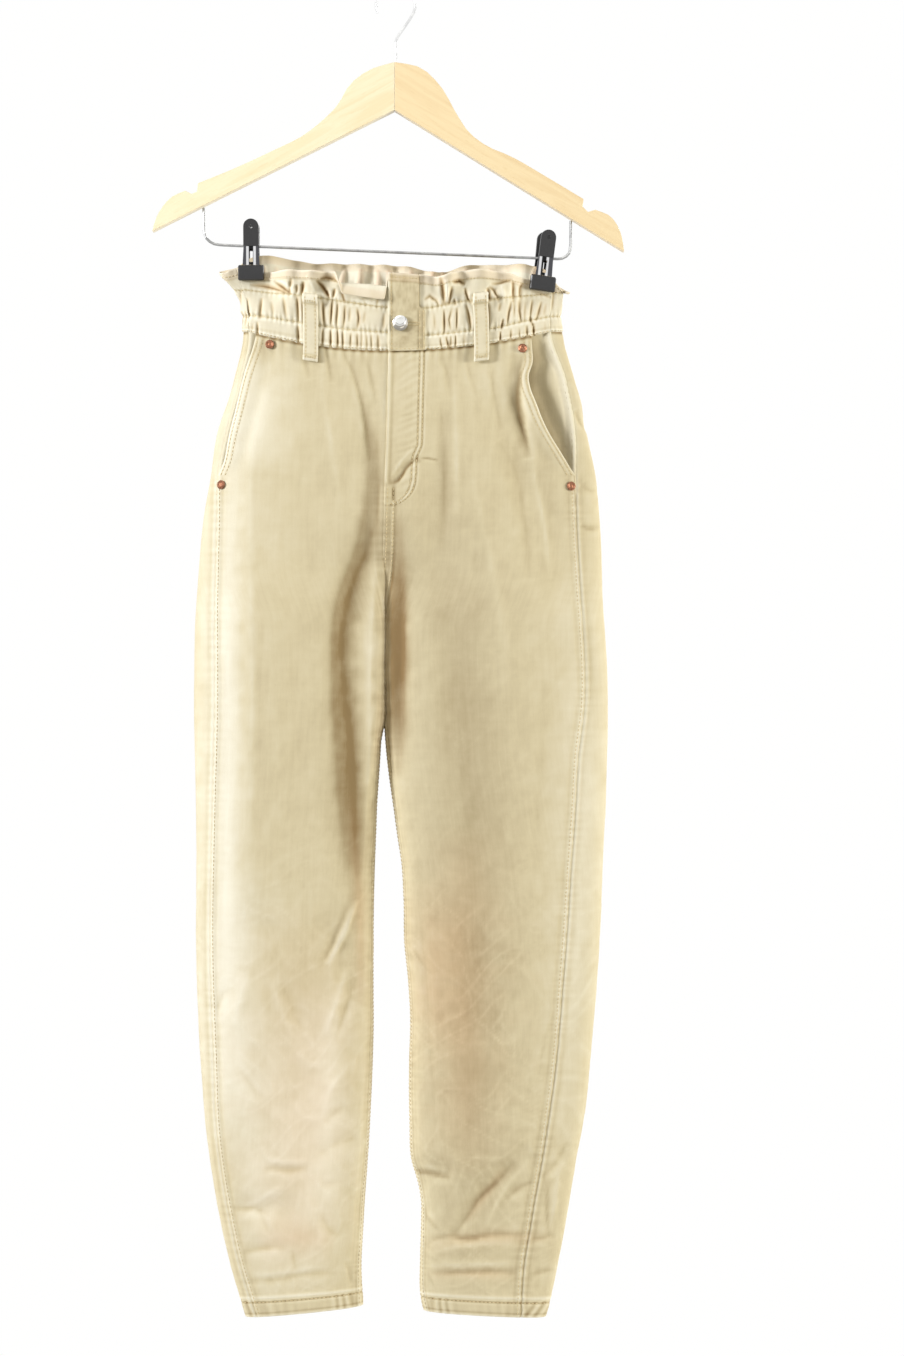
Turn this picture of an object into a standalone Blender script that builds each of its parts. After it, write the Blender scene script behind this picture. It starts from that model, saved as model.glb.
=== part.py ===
# Jeans with a paper-bag waist, clipped by the ruffle to a wooden hanger with a trouser bar.
# Lengths are millimetres until a mesh is made. X runs to the right seen from the front, the front faces -Y,
# and Z is up. The origin is the inside top of the hook, and "down" is the distance below it.

import bpy
import numpy as np
from math import radians, tan, pi

MM = 0.001

# Cloth
CLOTH = 1.5             # wall of the legs
BAND = 1.6              # wall of the gathered waistband
SEAM_GAP = 0.3          # space between two pieces that are sewn together
LAYER_GAP = 0.6         # space between two layers that lie on each other
BLUNT = 0.8             # below 1, the sections are flatter in front and rounder at the sides
SECTION_STEPS = 480     # points along a worked out section
TURN_WEIGHT = 20.0      # millimetres of cloth that one radian of bend counts for when columns are spaced
SHARP = 65.0            # degrees: edges of the cloth that bend more than this look sharp

# The crotch: above it the legs share one section, below it each has its own
CROTCH_TOP = 498.0
CROTCH_LOW = 606.0

# The waist seam and how far it hangs below, in front, or rises, behind
WAIST_SEAM = 327.0
FRONT_DIP = 19.0
BACK_DIP = -6.0
DIP_REACH = 150.0

# The hem
HEM = 1253.0
HEM_WIDTH = 15.0
HEM_STEP = 0.8
HEM_TILT_REACH = 70.0

# Each leg panel is one piece of cloth. It is made of three solids, so that each can have its own collision
# pieces. Their rows, as distances down:
PANEL_CUT = 0.3         # space between these solids
PANEL_ROWS = {
    "upper": (327.3, 350.8, 374.2, 397.6, 421.1, 444.6, 468, 489.7, 511.4, 533.1, 554.9, 576.6, 598.3, 620),
    "middle": (620, 677.5, 735, 792.5, 850, 895, 940),
    "lower": (940, 990, 1040, 1090, 1120, 1150, 1180, 1209, 1237, 1238.5, 1253),
}
FRONT_COLUMNS = 14
BACK_COLUMNS = 11

# Each leg's section at a height: its outer and inner side, its side seam and half its depth
LEG_COLUMNS = ("down", "outer", "inner", "seam", "depth")
LEG_TABLES = {
    "left": (
        (277, -163, -6, -150, 25),
        (289, -151, -6, -142, 24),
        (313, -146, -6, -139, 24),
        (327, -144, -6, -137, 24),
        (371, -152, -7, -145, 28),
        (427, -169, -8, -159, 33),
        (461, -174, -9, -166, 35),
        (503, -181, -10, -167, 37),
        (578, -187, -12, -168, 39),
        (672, -190, -13, -168, 39),
        (786, -188, -17, -171, 37),
        (899, -188, -20, -173, 34),
        (1002, -184, -20, -170, 30),
        (1087, -177, -24, -166, 26),
        (1163, -165, -29, -154, 21),
        (1200, -157, -31, -146, 18),
        (1253, -141, -30, -130, 14),
    ),
    "right": (
        (277, 162, -6, 149, 25),
        (289, 158, -6, 147, 24),
        (313, 156, -6, 145, 24),
        (327, 157, -6, 145, 24),
        (371, 169, -7, 159, 28),
        (427, 181, -8, 168, 33),
        (461, 188, -9, 168, 35),
        (503, 192, -10, 169, 37),
        (578, 195, -12, 173, 38),
        (672, 200, -11, 177, 37),
        (729, 199, -9, 170, 36),
        (786, 197, -3, 167, 34),
        (899, 192, 5, 160, 31),
        (1002, 184, 11, 152, 28),
        (1087, 174, 13, 140, 24),
        (1163, 160, 23, 126, 20),
        (1200, 153, 22, 120, 18),
        (1253, 141, 26, 117, 14),
    ),
}
HEM_TILT = {"left": 11.0, "right": 6.0}     # how much higher the hem is at the inseam

# The edge of each slanted pocket mouth, from the waist seam down to the side seam
MOUTH_COLUMNS = ("down", "left", "right")
MOUTH_TABLE = (
    (327, -131, 124),
    (352, -137, 129),
    (380, -145, 132),
    (407, -152, 139),
    (427, -156, 149),
    (445, -159, 159),
    (462, -166, 168),
)
MOUTH_LOW = 462.0
MOUTH_GAPE = 3.0        # how far the edge stands off the facing
MOUTH_SOFT = 20.0       # how far from the edge the gape reaches
FACING_UNDER = 30.0     # how far the facing reaches behind the mouth's edge
FACING_PAST_SEAM = 3.0
FACING_GAP = 0.9        # between the facing and the wall in front of it
FACING_COLUMNS = 9
FACING_LOW = 482.0

# The largest folds: the side they show on, their depth and half width, then points (x, down) along them
FOLDS = (
    ("front", -8.0, 17, ((-50, 352), (-24, 470), (-30, 545), (-51, 616), (-59, 691), (-48, 767), (-41, 850))),
    ("front", -4.0, 18, ((79, 372), (112, 430), (141, 500), (158, 590))),
    ("front", 3.5, 22, ((-112, 380), (-118, 520), (-116, 700), (-122, 880))),
    ("front", -3.5, 20, ((34, 400), (40, 520), (52, 660), (66, 800))),
    ("front", -3.0, 14, ((-70, 872), (-52, 905), (-44, 965))),
    ("front", -3.5, 14, ((128, 1094), (92, 1130), (52, 1178))),
    ("front", -3.0, 12, ((16, 1112), (34, 1116), (56, 1112))),
    ("front", -3.0, 13, ((-148, 1150), (-118, 1146), (-92, 1152))),
    ("front", 2.0, 16, ((30, 880), (36, 960), (44, 1040))),
    ("back", -6.0, 20, ((60, 400), (78, 520), (84, 640), (74, 780))),
    ("back", -6.0, 20, ((-70, 400), (-84, 520), (-92, 650), (-84, 790))),
    ("back", -3.5, 16, ((-150, 840), (-112, 868), (-60, 850))),
    ("back", -3.5, 16, ((40, 850), (88, 872), (150, 846))),
    ("back", -3.0, 14, ((-140, 1120), (-100, 1140), (-56, 1126))),
    ("back", -3.0, 14, ((46, 1126), (88, 1146), (132, 1120))),
)
FOLD_FADE = 16.0        # folds fade this far from the centre seams and inseams
FOLD_TURN = 4.0         # folds pass from front to back over this distance on each side of the middle
FOLD_ENDS = 0.6         # the smaller, the more sudden a fold's ends are

# Rows of the waistband: the distance down at the sides, the depth of the gathers, the puff of the channel and
# the share of the ruffle
BAND_ROWS = (
    (277.0, 0.0, 0.0, 1.0),
    (280.0, 0.3, 0.0, 0.72),
    (283.0, 0.8, 0.0, 0.36),
    (285.5, 0.4, -0.5, 0.0),
    (293.5, 1.6, 0.7, 0.0),
    (302.0, 1.6, 0.7, 0.0),
    (310.5, 0.4, -0.5, 0.0),
    (319.0, 1.0, 0.5, 0.0),
    (327.0, 0.2, 0.0, 0.0),
)
GATHERS = {"left": 12, "right": 11, "back": 18}
CALM_END = 14.0         # the ruffle lies still this far from the tab and from the side seams
RUFFLE_WAVE = 27.0      # length of a ruffle wave along the seam
RUFFLE_DEPTH = 4.0

# The ruffle's top edge: how much lower than its plain height it hangs, and how far it leans out
EDGE_COLUMNS = ("x", "drop", "lean")
EDGE_TABLES = {
    "front": (
        (-164, 4, 1),
        (-150, -8, 0),
        (-136, -12, 0),
        (-120, -8, 2),
        (-96, -7, 6),
        (-65, -3, 9),
        (-47, 8, 12),
        (-22, 8, 9),
        (-6, 4, 2),
        (25, -2, 1),
        (42, 0, 5),
        (56, -4, 6),
        (104, -4, 5),
        (126, 0, 2),
        (138, 0, 0),
        (150, 1, 0),
        (162, 8, 1),
    ),
    "back": (
        (-164, 4, 1),
        (-150, -8, 0),
        (-136, -13, 0),
        (-124, -21, 1),
        (-98, -23, 2),
        (-75, -20, 3),
        (-31, -19, 3),
        (18, -16, 3),
        (42, -11, 4),
        (72, -18, 3),
        (98, -17, 3),
        (124, -14, 1),
        (138, -9, 0),
        (150, 1, 0),
        (162, 8, 1),
    ),
}

# The flat tab at the end of the waistband, and the flat strip that goes under it
TAB_FROM = -0.6
TAB_TO = 33.5
UNDERLAP = 16.0
TAB_LIFT = 0.7

# Belt loops: where each is centred along the waistband, from the centre seam
LOOP_WIDTH = 13.0
LOOP_THICK = 2.0
LOOP_COLUMNS = 4
LOOP_LIFTS = (          # how far each row of a loop stands off the plain section
    (286.5, 1.0),
    (293.5, 2.9),
    (302.0, 2.9),
    (310.5, 1.6),
    (319.0, 2.3),
    (327.5, 1.6),
    (341.0, 0.8),
)
LOOPS = {
    "belt_loop_front_left": ("front", -73.0),
    "belt_loop_front_right": ("front", 86.0),
    "belt_loop_back_left": ("back", -98.0),
    "belt_loop_back_centre": ("back", 8.0),
    "belt_loop_back_right": ("back", 112.0),
}

# Button, rivets and zip
BUTTON_RADIUS = 7.25
BUTTON_AT = (10.8, 301.4)       # along the tab, and its row
RIVET_RADIUS = 4.25
RIVET_LIFT = 0.7
RIVETS = {
    "rivet_left_top": ("left", 333.5, -117.5),
    "rivet_left_low": ("left", 470.5, -163.0),
    "rivet_right_top": ("right", 336.5, 119.0),
    "rivet_right_low": ("right", 472.0, 164.5),
}
ZIP_FROM = 1.0
ZIP_TO = 25.0
ZIP_ROWS = (332.0, 476.0, 9)

# Wooden arms: their outlines in (x, down), the top edge first
WOOD_THICK = 12.0
WOOD_ROUND = 1.6
MITRE_X = -1.0
PEAK = 72.0
APEX = 117.0
ARM_TOPS = {
    "left": (
        (-1, 72),
        (-24, 79),
        (-43, 93),
        (-55, 113),
        (-69, 127),
        (-87, 141),
        (-115, 155),
        (-154, 173),
        (-186, 186),
    ),
    "right": (
        (-1, 72),
        (23, 77),
        (44, 97),
        (57, 120),
        (69, 138),
        (86, 151),
        (107, 160),
        (142, 180),
        (177, 201),
    ),
}
ARM_TOP_STEPS = 22
ARM_END_STEPS = 9
ARM_NOTCHES = {
    "left": ((-187, 194), (-192, 196), (-198, 193)),
    "right": ((176, 208), (181, 213), (188, 211)),
}
ARM_ENDS = {
    "left": ((-211, 199), (-220, 209), (-226, 220), (-229, 231)),
    "right": ((202, 217), (209, 226), (213, 237), (215, 250)),
}

# Hook and trouser bar, bent from wire
HOOK_WIRE = 1.4
HOOK_INSIDE = 17.0
HOOK_BEND = ((0, 52), (1.5, 47.5), (13, 31))
HOOK_FROM = -22.0       # degrees round the hook's centre, from the stem's side over the top to the tip
HOOK_TO = 204.0
HOOK_STEPS = 17
BAR_WIRE = 1.3
BAR_ENDS = ((-181, 208.3), (165, 220.5))
BAR_BENDS = {
    "left": ((-181, 228), (-178.5, 237), (-172, 242), (-162, 243.5)),
    "right": ((148, 256.3), (157, 256), (163, 252), (165, 242)),
}
BAR_BEND_STEPS = 7

# Clips: the top centre of the jaws, the lean and turn of the clip in degrees, its spring's radius
CLIPS = {
    "clip_left": {"at": (-136.0, 263.0), "lean": 0.0, "turn": 0.0, "spring": 4.6},
    "clip_right": {"at": (138.3, 273.0), "lean": 6.4, "turn": 12.0, "spring": 3.9},
}
JAW_SIZE = (24.4, 4.4, 14.2)
CLAMP = 2.2             # half the thickness of the cloth between the jaws
CLAMP_INSIDE = 0.6      # half the space between the two layers there
CLAMP_FLAT = 14.5
CLAMP_REACH = 42.0
CLAMP_PAST = 5.0        # the cloth stays flat this far below the jaws
CLAMP_BELOW = 26.0
JAW_ROUND = 1.0
LEAF_TILT = 5.0         # degrees that the leaves and grips lean outwards
LEAF_THICK = 1.2
LEAF_PLATE = ((-8.0, 0.3), (8.0, 0.3), (7.0, 17.7), (-7.0, 17.7))   # (x, height above the jaws)
LEAF_SLOT =((-1.7, 3.0), (-1.7, 15.0), (1.7, 15.0), (1.7, 3.0))
GRIP_LOW, GRIP_HIGH = 18.0, 43.5
GRIP_THICK = 2.4
GRIP_WIDTH = 14.4
GRIP_EYE = 1.9
SPRING_HALF = 2.5

COLOURS = {
    "cloth": ((0.70, 0.60, 0.38), 0.9, 0.0),
    "wood": ((0.80, 0.62, 0.34), 0.5, 0.0),
    "steel": ((0.75, 0.75, 0.75), 0.25, 1.0),
    "plastic": ((0.02, 0.02, 0.02), 0.45, 0.0),
    "button": ((0.80, 0.79, 0.76), 0.3, 1.0),
    "copper": ((0.62, 0.30, 0.18), 0.35, 1.0),
    "zip": ((0.60, 0.52, 0.34), 0.8, 0.0),
}


# Collections and materials

def clear_scene():
    for obj in list(bpy.data.objects):
        bpy.data.objects.remove(obj, do_unlink=True)


def new_collection(name):
    made = bpy.data.collections.new(name)
    bpy.context.scene.collection.children.link(made)
    return made


def give_material(obj, look):
    colour, roughness, metallic = COLOURS[look]
    material = bpy.data.materials.new(obj.name + "_" + look)
    material.use_nodes = True
    shader = material.node_tree.nodes["Principled BSDF"]
    shader.inputs["Base Color"].default_value = (*colour, 1.0)
    shader.inputs["Roughness"].default_value = roughness
    shader.inputs["Metallic"].default_value = metallic
    obj.data.materials.append(material)


def add_object(name, data, look, parent=None):
    obj = bpy.data.objects.new(name, data)
    part.objects.link(obj)
    obj.parent = parent
    give_material(obj, look)
    return obj


# Curves and tables

def through(knots, values, at):
    # A smooth curve through the knots: cubic Hermite pieces whose slopes come from the neighbours.
    knots = np.asarray(knots, float)
    values = np.asarray(values, float)
    slope = np.gradient(values, knots)
    k = np.clip(np.searchsorted(knots, at) - 1, 0, len(knots) - 2)
    span = knots[k + 1] - knots[k]
    s = np.clip((at - knots[k]) / span, 0, 1)
    start = (2 * s**3 - 3 * s**2 + 1) * values[k] + (s**3 - 2 * s**2 + s) * span * slope[k]
    end = (3 * s**2 - 2 * s**3) * values[k + 1] + (s**3 - s**2) * span * slope[k + 1]
    return start + end


def from_table(table, columns, name, at):
    rows = np.array(table, float)
    return through(rows[:, 0], rows[:, columns.index(name)], np.asarray(at, float))


def smooth_step(low, high, value):
    s = np.clip((np.asarray(value, float) - low) / (high - low), 0, 1)
    return s * s * (3 - 2 * s)


def rounded_path(points, steps):
    # Points on a smooth curve through the given ones, spaced by their own distances.
    points = np.array(points, float)
    run = np.concatenate([[0], np.cumsum(np.linalg.norm(np.diff(points, axis=0), axis=1))])
    at = np.linspace(0, run[-1], steps)
    return np.stack([through(run, points[:, 0], at), through(run, points[:, 1], at)], axis=1)


# Sections of the legs

def blunt(value):
    return np.sign(value) * np.abs(value) ** BLUNT


def section(leg, down):
    # One leg's outline at a height, from the front centre round the outer side to the back centre. Above the
    # crotch it is half of a flat oval. Below it is a whole one, and between them it is a blend of the two.
    side = 1 if leg == "right" else -1
    outer, inner, seam, depth = (
        from_table(LEG_TABLES[leg], LEG_COLUMNS, name, down) for name in LEG_COLUMNS[1:]
    )
    share = smooth_step(CROTCH_TOP, CROTCH_LOW, down)
    turn = np.linspace(0, 1, SECTION_STEPS + 1)
    width = abs(outer - inner)
    body_x = width * np.sin(pi * turn)
    leg_x = width * np.sin(pi * turn) ** 2
    body_y = -depth * blunt(np.cos(pi * turn))
    leg_y = -depth * blunt(np.sin(2 * pi * turn))
    x = inner + side * ((1 - share) * body_x + share * leg_x)
    y = (1 - share) * body_y + share * leg_y
    step_x, step_y = np.gradient(x), np.gradient(y)
    length = np.hypot(step_x, step_y)
    arc = np.concatenate([[0], np.cumsum(np.hypot(np.diff(x), np.diff(y)))])
    bend = np.abs(np.diff(np.unwrap(np.arctan2(step_y, step_x)), prepend=0))
    bend[0] = 0
    half = SECTION_STEPS // 2
    return {
        "arc": arc,
        "x": x,
        "y": y,
        "nx": side * step_y / length,
        "ny": -side * step_x / length,
        "bend": np.cumsum(bend),
        "whole": arc[-1],
        "seam": np.interp(side * seam, side * x[: half + 1], arc[: half + 1]),
    }


def mouth_arc(leg, shape, down):
    # How far along the section the front panel's outer edge is: the pocket mouth, or below it the side seam.
    if down >= MOUTH_LOW:
        return shape["seam"]
    side = 1 if leg == "right" else -1
    half = SECTION_STEPS // 2
    edge = from_table(MOUTH_TABLE, MOUTH_COLUMNS, leg, down)
    at = np.interp(side * edge, side * shape["x"][: half + 1], shape["arc"][: half + 1])
    return min(at, shape["seam"])


def spaced(shape, start, end, columns):
    # Distances along a section from start to end, closer together where it bends.
    run = shape["arc"] + TURN_WEIGHT * shape["bend"]
    first, last = np.interp([start, end], shape["arc"], run)
    return np.interp(np.linspace(first, last, columns), run, shape["arc"])


def beside(path, x, down):
    # Distance of each point from a path, and the share of the path that lies before its nearest point.
    path = np.array(path, float)
    begin, along = path[:-1], np.diff(path, axis=0)
    reach = (along**2).sum(axis=1)
    point = np.stack([x, np.broadcast_to(down, x.shape)], axis=-1)[..., None, :]
    share = np.clip(((point - begin) * along).sum(axis=-1) / reach, 0, 1)
    away = np.linalg.norm(point - begin - share[..., None] * along, axis=-1)
    nearest = away.argmin(axis=-1)
    run = np.concatenate([[0], np.cumsum(np.sqrt(reach))])
    shares = np.take_along_axis(share, nearest[..., None], -1)[..., 0]
    passed = run[nearest] + shares * np.sqrt(reach)[nearest]
    return away.min(axis=-1), passed / run[-1]


def fold_relief(x, y, down):
    # How far the cloth stands out of the plain section: each fold is a soft ridge or trough that fades at
    # its ends.
    front = smooth_step(-FOLD_TURN, FOLD_TURN, -y)
    relief = np.zeros_like(x)
    for face, depth, width, path in FOLDS:
        away, passed = beside(path, x, down)
        weight = front if face == "front" else 1 - front
        relief += weight * depth * np.exp(-((away / width) ** 2)) * np.sin(pi * passed) ** FOLD_ENDS
    return relief


def cloth_points(leg, down, arcs, lift, inward):
    # Points on a leg's cloth, lifted out of it by lift, and the same points moved in by the wall.
    shape = section(leg, down)
    x, y, nx, ny = (np.interp(arcs, shape["arc"], shape[name]) for name in ("x", "y", "nx", "ny"))
    near = np.minimum(arcs, shape["whole"] - arcs)
    relief = fold_relief(x, y, down) * smooth_step(0, FOLD_FADE, near)
    out = relief + lift
    front = arcs <= shape["seam"]
    share = np.where(front, arcs / shape["seam"], (shape["whole"] - arcs) / (shape["whole"] - shape["seam"]))
    dip = np.where(front, FRONT_DIP, BACK_DIP) * (1 - share**2)
    dip = dip * (1 - smooth_step(WAIST_SEAM, WAIST_SEAM + DIP_REACH, down))
    outer, inner = (from_table(LEG_TABLES[leg], LEG_COLUMNS, name, down) for name in ("outer", "inner"))
    tilt = HEM_TILT[leg] * smooth_step(HEM - HEM_TILT_REACH, HEM, down) * (x - outer) / (inner - outer)
    z = -(down + dip) + tilt
    outside = np.stack([x + nx * out, y + ny * out, z], axis=-1)
    inside = np.stack([x + nx * (out - inward), y + ny * (out - inward), z], axis=-1)
    return outside, inside


# Meshes

def wall(name, outside, inside, look, flip):
    # A closed wall between two grids of points, [row, column], with a rim all round.
    rows, columns = outside.shape[:2]
    points = np.concatenate([outside.reshape(-1, 3), inside.reshape(-1, 3)]) * MM
    number = np.arange(rows * columns).reshape(rows, columns)
    behind = number + rows * columns
    quads = [
        np.stack([number[:-1, :-1], number[1:, :-1], number[1:, 1:], number[:-1, 1:]], -1).reshape(-1, 4),
        np.stack([behind[:-1, :-1], behind[:-1, 1:], behind[1:, 1:], behind[1:, :-1]], -1).reshape(-1, 4),
    ]
    rims = (
        (number[0, :-1], number[0, 1:], behind[0, 1:], behind[0, :-1]),
        (number[-1, 1:], number[-1, :-1], behind[-1, :-1], behind[-1, 1:]),
        (number[1:, 0], number[:-1, 0], behind[:-1, 0], behind[1:, 0]),
        (number[:-1, -1], number[1:, -1], behind[1:, -1], behind[:-1, -1]),
    )
    quads += [np.stack(rim, -1) for rim in rims]
    faces = np.concatenate(quads)
    if flip:
        faces = faces[:, ::-1]
    mesh = bpy.data.meshes.new(name)
    mesh.from_pydata(points.tolist(), [], faces.tolist())
    mesh.validate()
    mesh.shade_smooth()
    mesh.set_sharp_from_angle(angle=radians(SHARP))
    return add_object(name, mesh, look)


def turned(name, profile, look, steps):
    # A solid turned round Z from a profile of (radius, height), down its outer side.
    mesh = bpy.data.meshes.new(name)
    points = [(radius * MM, 0, height * MM) for radius, height in profile]
    mesh.from_pydata(points, [(i, i + 1) for i in range(len(points) - 1)], [])
    obj = add_object(name, mesh, look)
    screw = obj.modifiers.new("turn", "SCREW")
    screw.angle = 2 * pi
    screw.steps = steps
    screw.render_steps = steps
    screw.use_merge_vertices = True
    screw.merge_threshold = 0.00005
    screw.use_smooth_shade = False
    return obj


def flat_plate(name, outlines, thickness, look, parent=None):
    # A plate with its outline in X and Z and half its thickness on each side of Y = 0.
    curve = bpy.data.curves.new(name, "CURVE")
    curve.dimensions = "2D"
    curve.fill_mode = "BOTH"
    curve.extrude = thickness / 2 * MM
    for outline in outlines:
        spline = curve.splines.new("POLY")
        spline.points.add(len(outline) - 1)
        for point, (x, z) in zip(spline.points, outline):
            point.co = (x * MM, z * MM, 0, 1)
        spline.use_cyclic_u = True
    obj = add_object(name, curve, look, parent)
    obj.rotation_euler = (radians(90), 0, 0)
    return obj


def wire(name, path, radius, look):
    curve = bpy.data.curves.new(name, "CURVE")
    curve.dimensions = "3D"
    curve.bevel_depth = radius * MM
    curve.bevel_resolution = 2
    curve.render_resolution_u = 0
    curve.use_fill_caps = True
    spline = curve.splines.new("POLY")
    spline.points.add(len(path) - 1)
    for point, (x, down) in zip(spline.points, path):
        point.co = (x * MM, 0, -down * MM, 1)
    return add_object(name, curve, look)


def weld_and_round(obj, width):
    weld = obj.modifiers.new("weld", "WELD")
    weld.merge_threshold = 0.00002
    bevel = obj.modifiers.new("round", "BEVEL")
    bevel.width = width * MM
    bevel.segments = 1
    bevel.limit_method = "ANGLE"
    bevel.angle_limit = radians(60)


# Legs and pockets

def panel_rows(stretch):
    # The rows of one solid of a panel, with half of the space at each cut.
    rows = np.array(PANEL_ROWS[stretch], float)
    rows[0] += 0 if stretch == "upper" else PANEL_CUT / 2
    rows[-1] -= 0 if stretch == "lower" else PANEL_CUT / 2
    return rows


def gape(leg, shape, down, arcs):
    # The pocket mouth's edge stands out, most at the middle of the mouth.
    if down >= MOUTH_LOW:
        return np.zeros_like(arcs)
    along = np.sin(pi * (down - WAIST_SEAM) / (MOUTH_LOW - WAIST_SEAM))
    behind = mouth_arc(leg, shape, down) - arcs
    return MOUTH_GAPE * along * np.exp(-((behind / MOUTH_SOFT) ** 2))


def hem_lift(down):
    return HEM_STEP if down > HEM - HEM_WIDTH else 0.0


def leg_panel(leg, face, stretch, columns):
    outside, inside = [], []
    for down in panel_rows(stretch):
        shape = section(leg, down)
        if face == "front":
            end = mouth_arc(leg, shape, down) - SEAM_GAP / 2
            arcs = spaced(shape, SEAM_GAP / 2, end, columns)
            lift = gape(leg, shape, down, arcs)
        else:
            arcs = spaced(shape, shape["seam"] + SEAM_GAP / 2, shape["whole"] - SEAM_GAP / 2, columns)
            lift = np.zeros_like(arcs)
        out, within = cloth_points(leg, down, arcs, lift + hem_lift(down), CLOTH + hem_lift(down))
        outside.append(out)
        inside.append(within)
    wall(f"{face}_{leg}_{stretch}", np.array(outside), np.array(inside), "cloth", leg == "left")


def pocket_facing(leg):
    # The facing lies behind the front panel and shows in the mouth.
    outside, inside = [], []
    for down in [row for row in panel_rows("upper") if row < FACING_LOW]:
        shape = section(leg, down)
        start = mouth_arc(leg, shape, down) - FACING_UNDER
        arcs = spaced(shape, start, shape["seam"] + FACING_PAST_SEAM, FACING_COLUMNS)
        lift = np.full_like(arcs, -CLOTH - FACING_GAP)
        out, within = cloth_points(leg, down, arcs, lift, CLOTH)
        outside.append(out)
        inside.append(within)
    wall("pocket_" + leg, np.array(outside), np.array(inside), "cloth", leg == "left")


def zip_tape():
    outside, inside = [], []
    for down in np.linspace(*ZIP_ROWS):
        arcs = np.linspace(ZIP_FROM, ZIP_TO, 3)
        out, within = cloth_points("right", down, arcs, np.full_like(arcs, -CLOTH - LAYER_GAP), CLOTH)
        outside.append(out)
        inside.append(within)
    wall("zip", np.array(outside), np.array(inside), "zip", False)


def on_leg(leg, down, x, size):
    # The middle of a small round piece that lies on the front panel at x, and the way the panel faces there.
    side = 1 if leg == "right" else -1
    half = SECTION_STEPS // 2
    shape = section(leg, down)
    arc = np.interp(side * x, side * shape["x"][: half + 1], shape["arc"][: half + 1])
    rows = []
    for row in (down - size, down + size):
        arcs = arc + np.array([-size, size])
        rows.append(cloth_points(leg, row, arcs, gape(leg, section(leg, row), row, arcs), CLOTH)[0])
    rows = np.array(rows)
    across = rows[:, 1] - rows[:, 0]
    normal = np.cross(across.sum(axis=0), (rows[1] - rows[0]).sum(axis=0)) * -side
    return rows.mean(axis=(0, 1)), normal / np.linalg.norm(normal)


# Waistband

def round_waist(face, down, along):
    # The plain section round the waist, by signed distance from the centre seam, positive to the right.
    found = {}
    for leg in ("left", "right"):
        shape = section(leg, down)
        arcs = np.abs(along) if face == "front" else shape["whole"] - np.abs(along)
        found[leg] = [np.interp(arcs, shape["arc"], shape[name]) for name in ("x", "y", "nx", "ny")]
        length = shape["seam"] if face == "front" else shape["whole"] - shape["seam"]
        found[leg].append(np.abs(along) / length)
    return [np.where(along >= 0, right, left) for left, right in zip(found["left"], found["right"])]


def clamp(point, inside):
    # Between a clip's jaws the cloth lies flat, in the plane of the jaws, and it opens again below them.
    x, y, z = point[:, 0], point[:, 1], point[:, 2]
    limit = CLAMP_INSIDE if inside else CLAMP
    shift = np.zeros_like(y)
    for clip in CLIPS.values():
        off = x - clip["at"][0]
        low = clip["at"][1] + JAW_SIZE[2] + CLAMP_PAST
        press = 1 - smooth_step(CLAMP_FLAT, CLAMP_REACH, np.abs(off))
        press = press * (1 - smooth_step(low, low + CLAMP_BELOW, -z))
        held = np.minimum(np.abs(y), (1 - press) * np.abs(y) + press * limit)
        y = np.where(point[:, 1] < 0, -held, held)
        shift += press * np.clip(off, -CLAMP_REACH, CLAMP_REACH) * tan(radians(clip["turn"]))
    return np.stack([x, y + shift, z], axis=-1)


def band_height(face, x, share, down, ruffle):
    # Distance down of a point of the waistband, with the dip of its seams and the uneven edge of the ruffle.
    dip = (FRONT_DIP if face == "front" else BACK_DIP) * (1 - np.clip(share, 0, 1) ** 2)
    base = BAND_ROWS[3][0] + dip
    top = BAND_ROWS[0][0] + from_table(EDGE_TABLES[face], EDGE_COLUMNS, "drop", x)
    return np.where(ruffle > 0, (1 - ruffle) * base + ruffle * top, down + dip)


def gather_columns(start, end, count):
    # Each gather has four columns. Its width and height are uneven, and it rises, falls and sinks.
    k = np.arange(count)
    widths = 1 + 0.28 * np.sin(2.3 * k) + 0.16 * np.sin(5.1 * k + 1)
    edges = start + (end - start) * np.concatenate([[0], np.cumsum(widths)]) / widths.sum()
    along = (edges[:-1, None] + np.diff(edges)[:, None] * np.arange(4) / 4).ravel()
    heights = 0.78 + 0.22 * np.sin(3.7 * k + 0.5)
    waves = (heights[:, None] * np.array([0, 1, 0, -1])).ravel()
    return np.append(along, end), np.append(waves, 0)


def band_piece(name, face, columns_at, lift=0.0, thickness=BAND):
    # columns_at gives, for a row, the distance along the waist and the gather wave of each column.
    outside, inside = [], []
    for down, gather, puff, ruffle in BAND_ROWS:
        along, waves = columns_at(down)
        x, y, nx, ny, share = round_waist(face, down, along)
        calm = calm_share(face, down, along) if not lift else 0.0
        lean = from_table(EDGE_TABLES[face], EDGE_COLUMNS, "lean", x)
        swing = np.sin(2 * pi * along / RUFFLE_WAVE + 1.3 * np.sin(along / 31))
        flutter = ruffle * (lean * ruffle + RUFFLE_DEPTH * swing)
        out = lift + calm * (flutter + puff) + gather * waves
        z = -band_height(face, x, share, down, ruffle)
        for shifted, deep, rows in ((out, False, outside), (out - thickness, True, inside)):
            rows.append(clamp(np.stack([x + nx * shifted, y + ny * shifted, z], axis=-1), deep))
    flip = face == "back"
    return wall(name, np.array(outside), np.array(inside), "cloth", flip)


def seam_along(leg, face, down):
    shape = section(leg, down)
    length = shape["seam"] if face == "front" else shape["whole"] - shape["seam"]
    return length - SEAM_GAP / 2


def calm_share(face, down, along):
    # 1 where the ruffle may flutter, 0 at the tab and at the side seams.
    room = np.minimum(along + seam_along("left", face, down), seam_along("right", face, down) - along)
    if face == "front":
        room = np.minimum(room, np.maximum(-along - 3, along - TAB_TO))
    return smooth_step(0, CALM_END, room)


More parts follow.
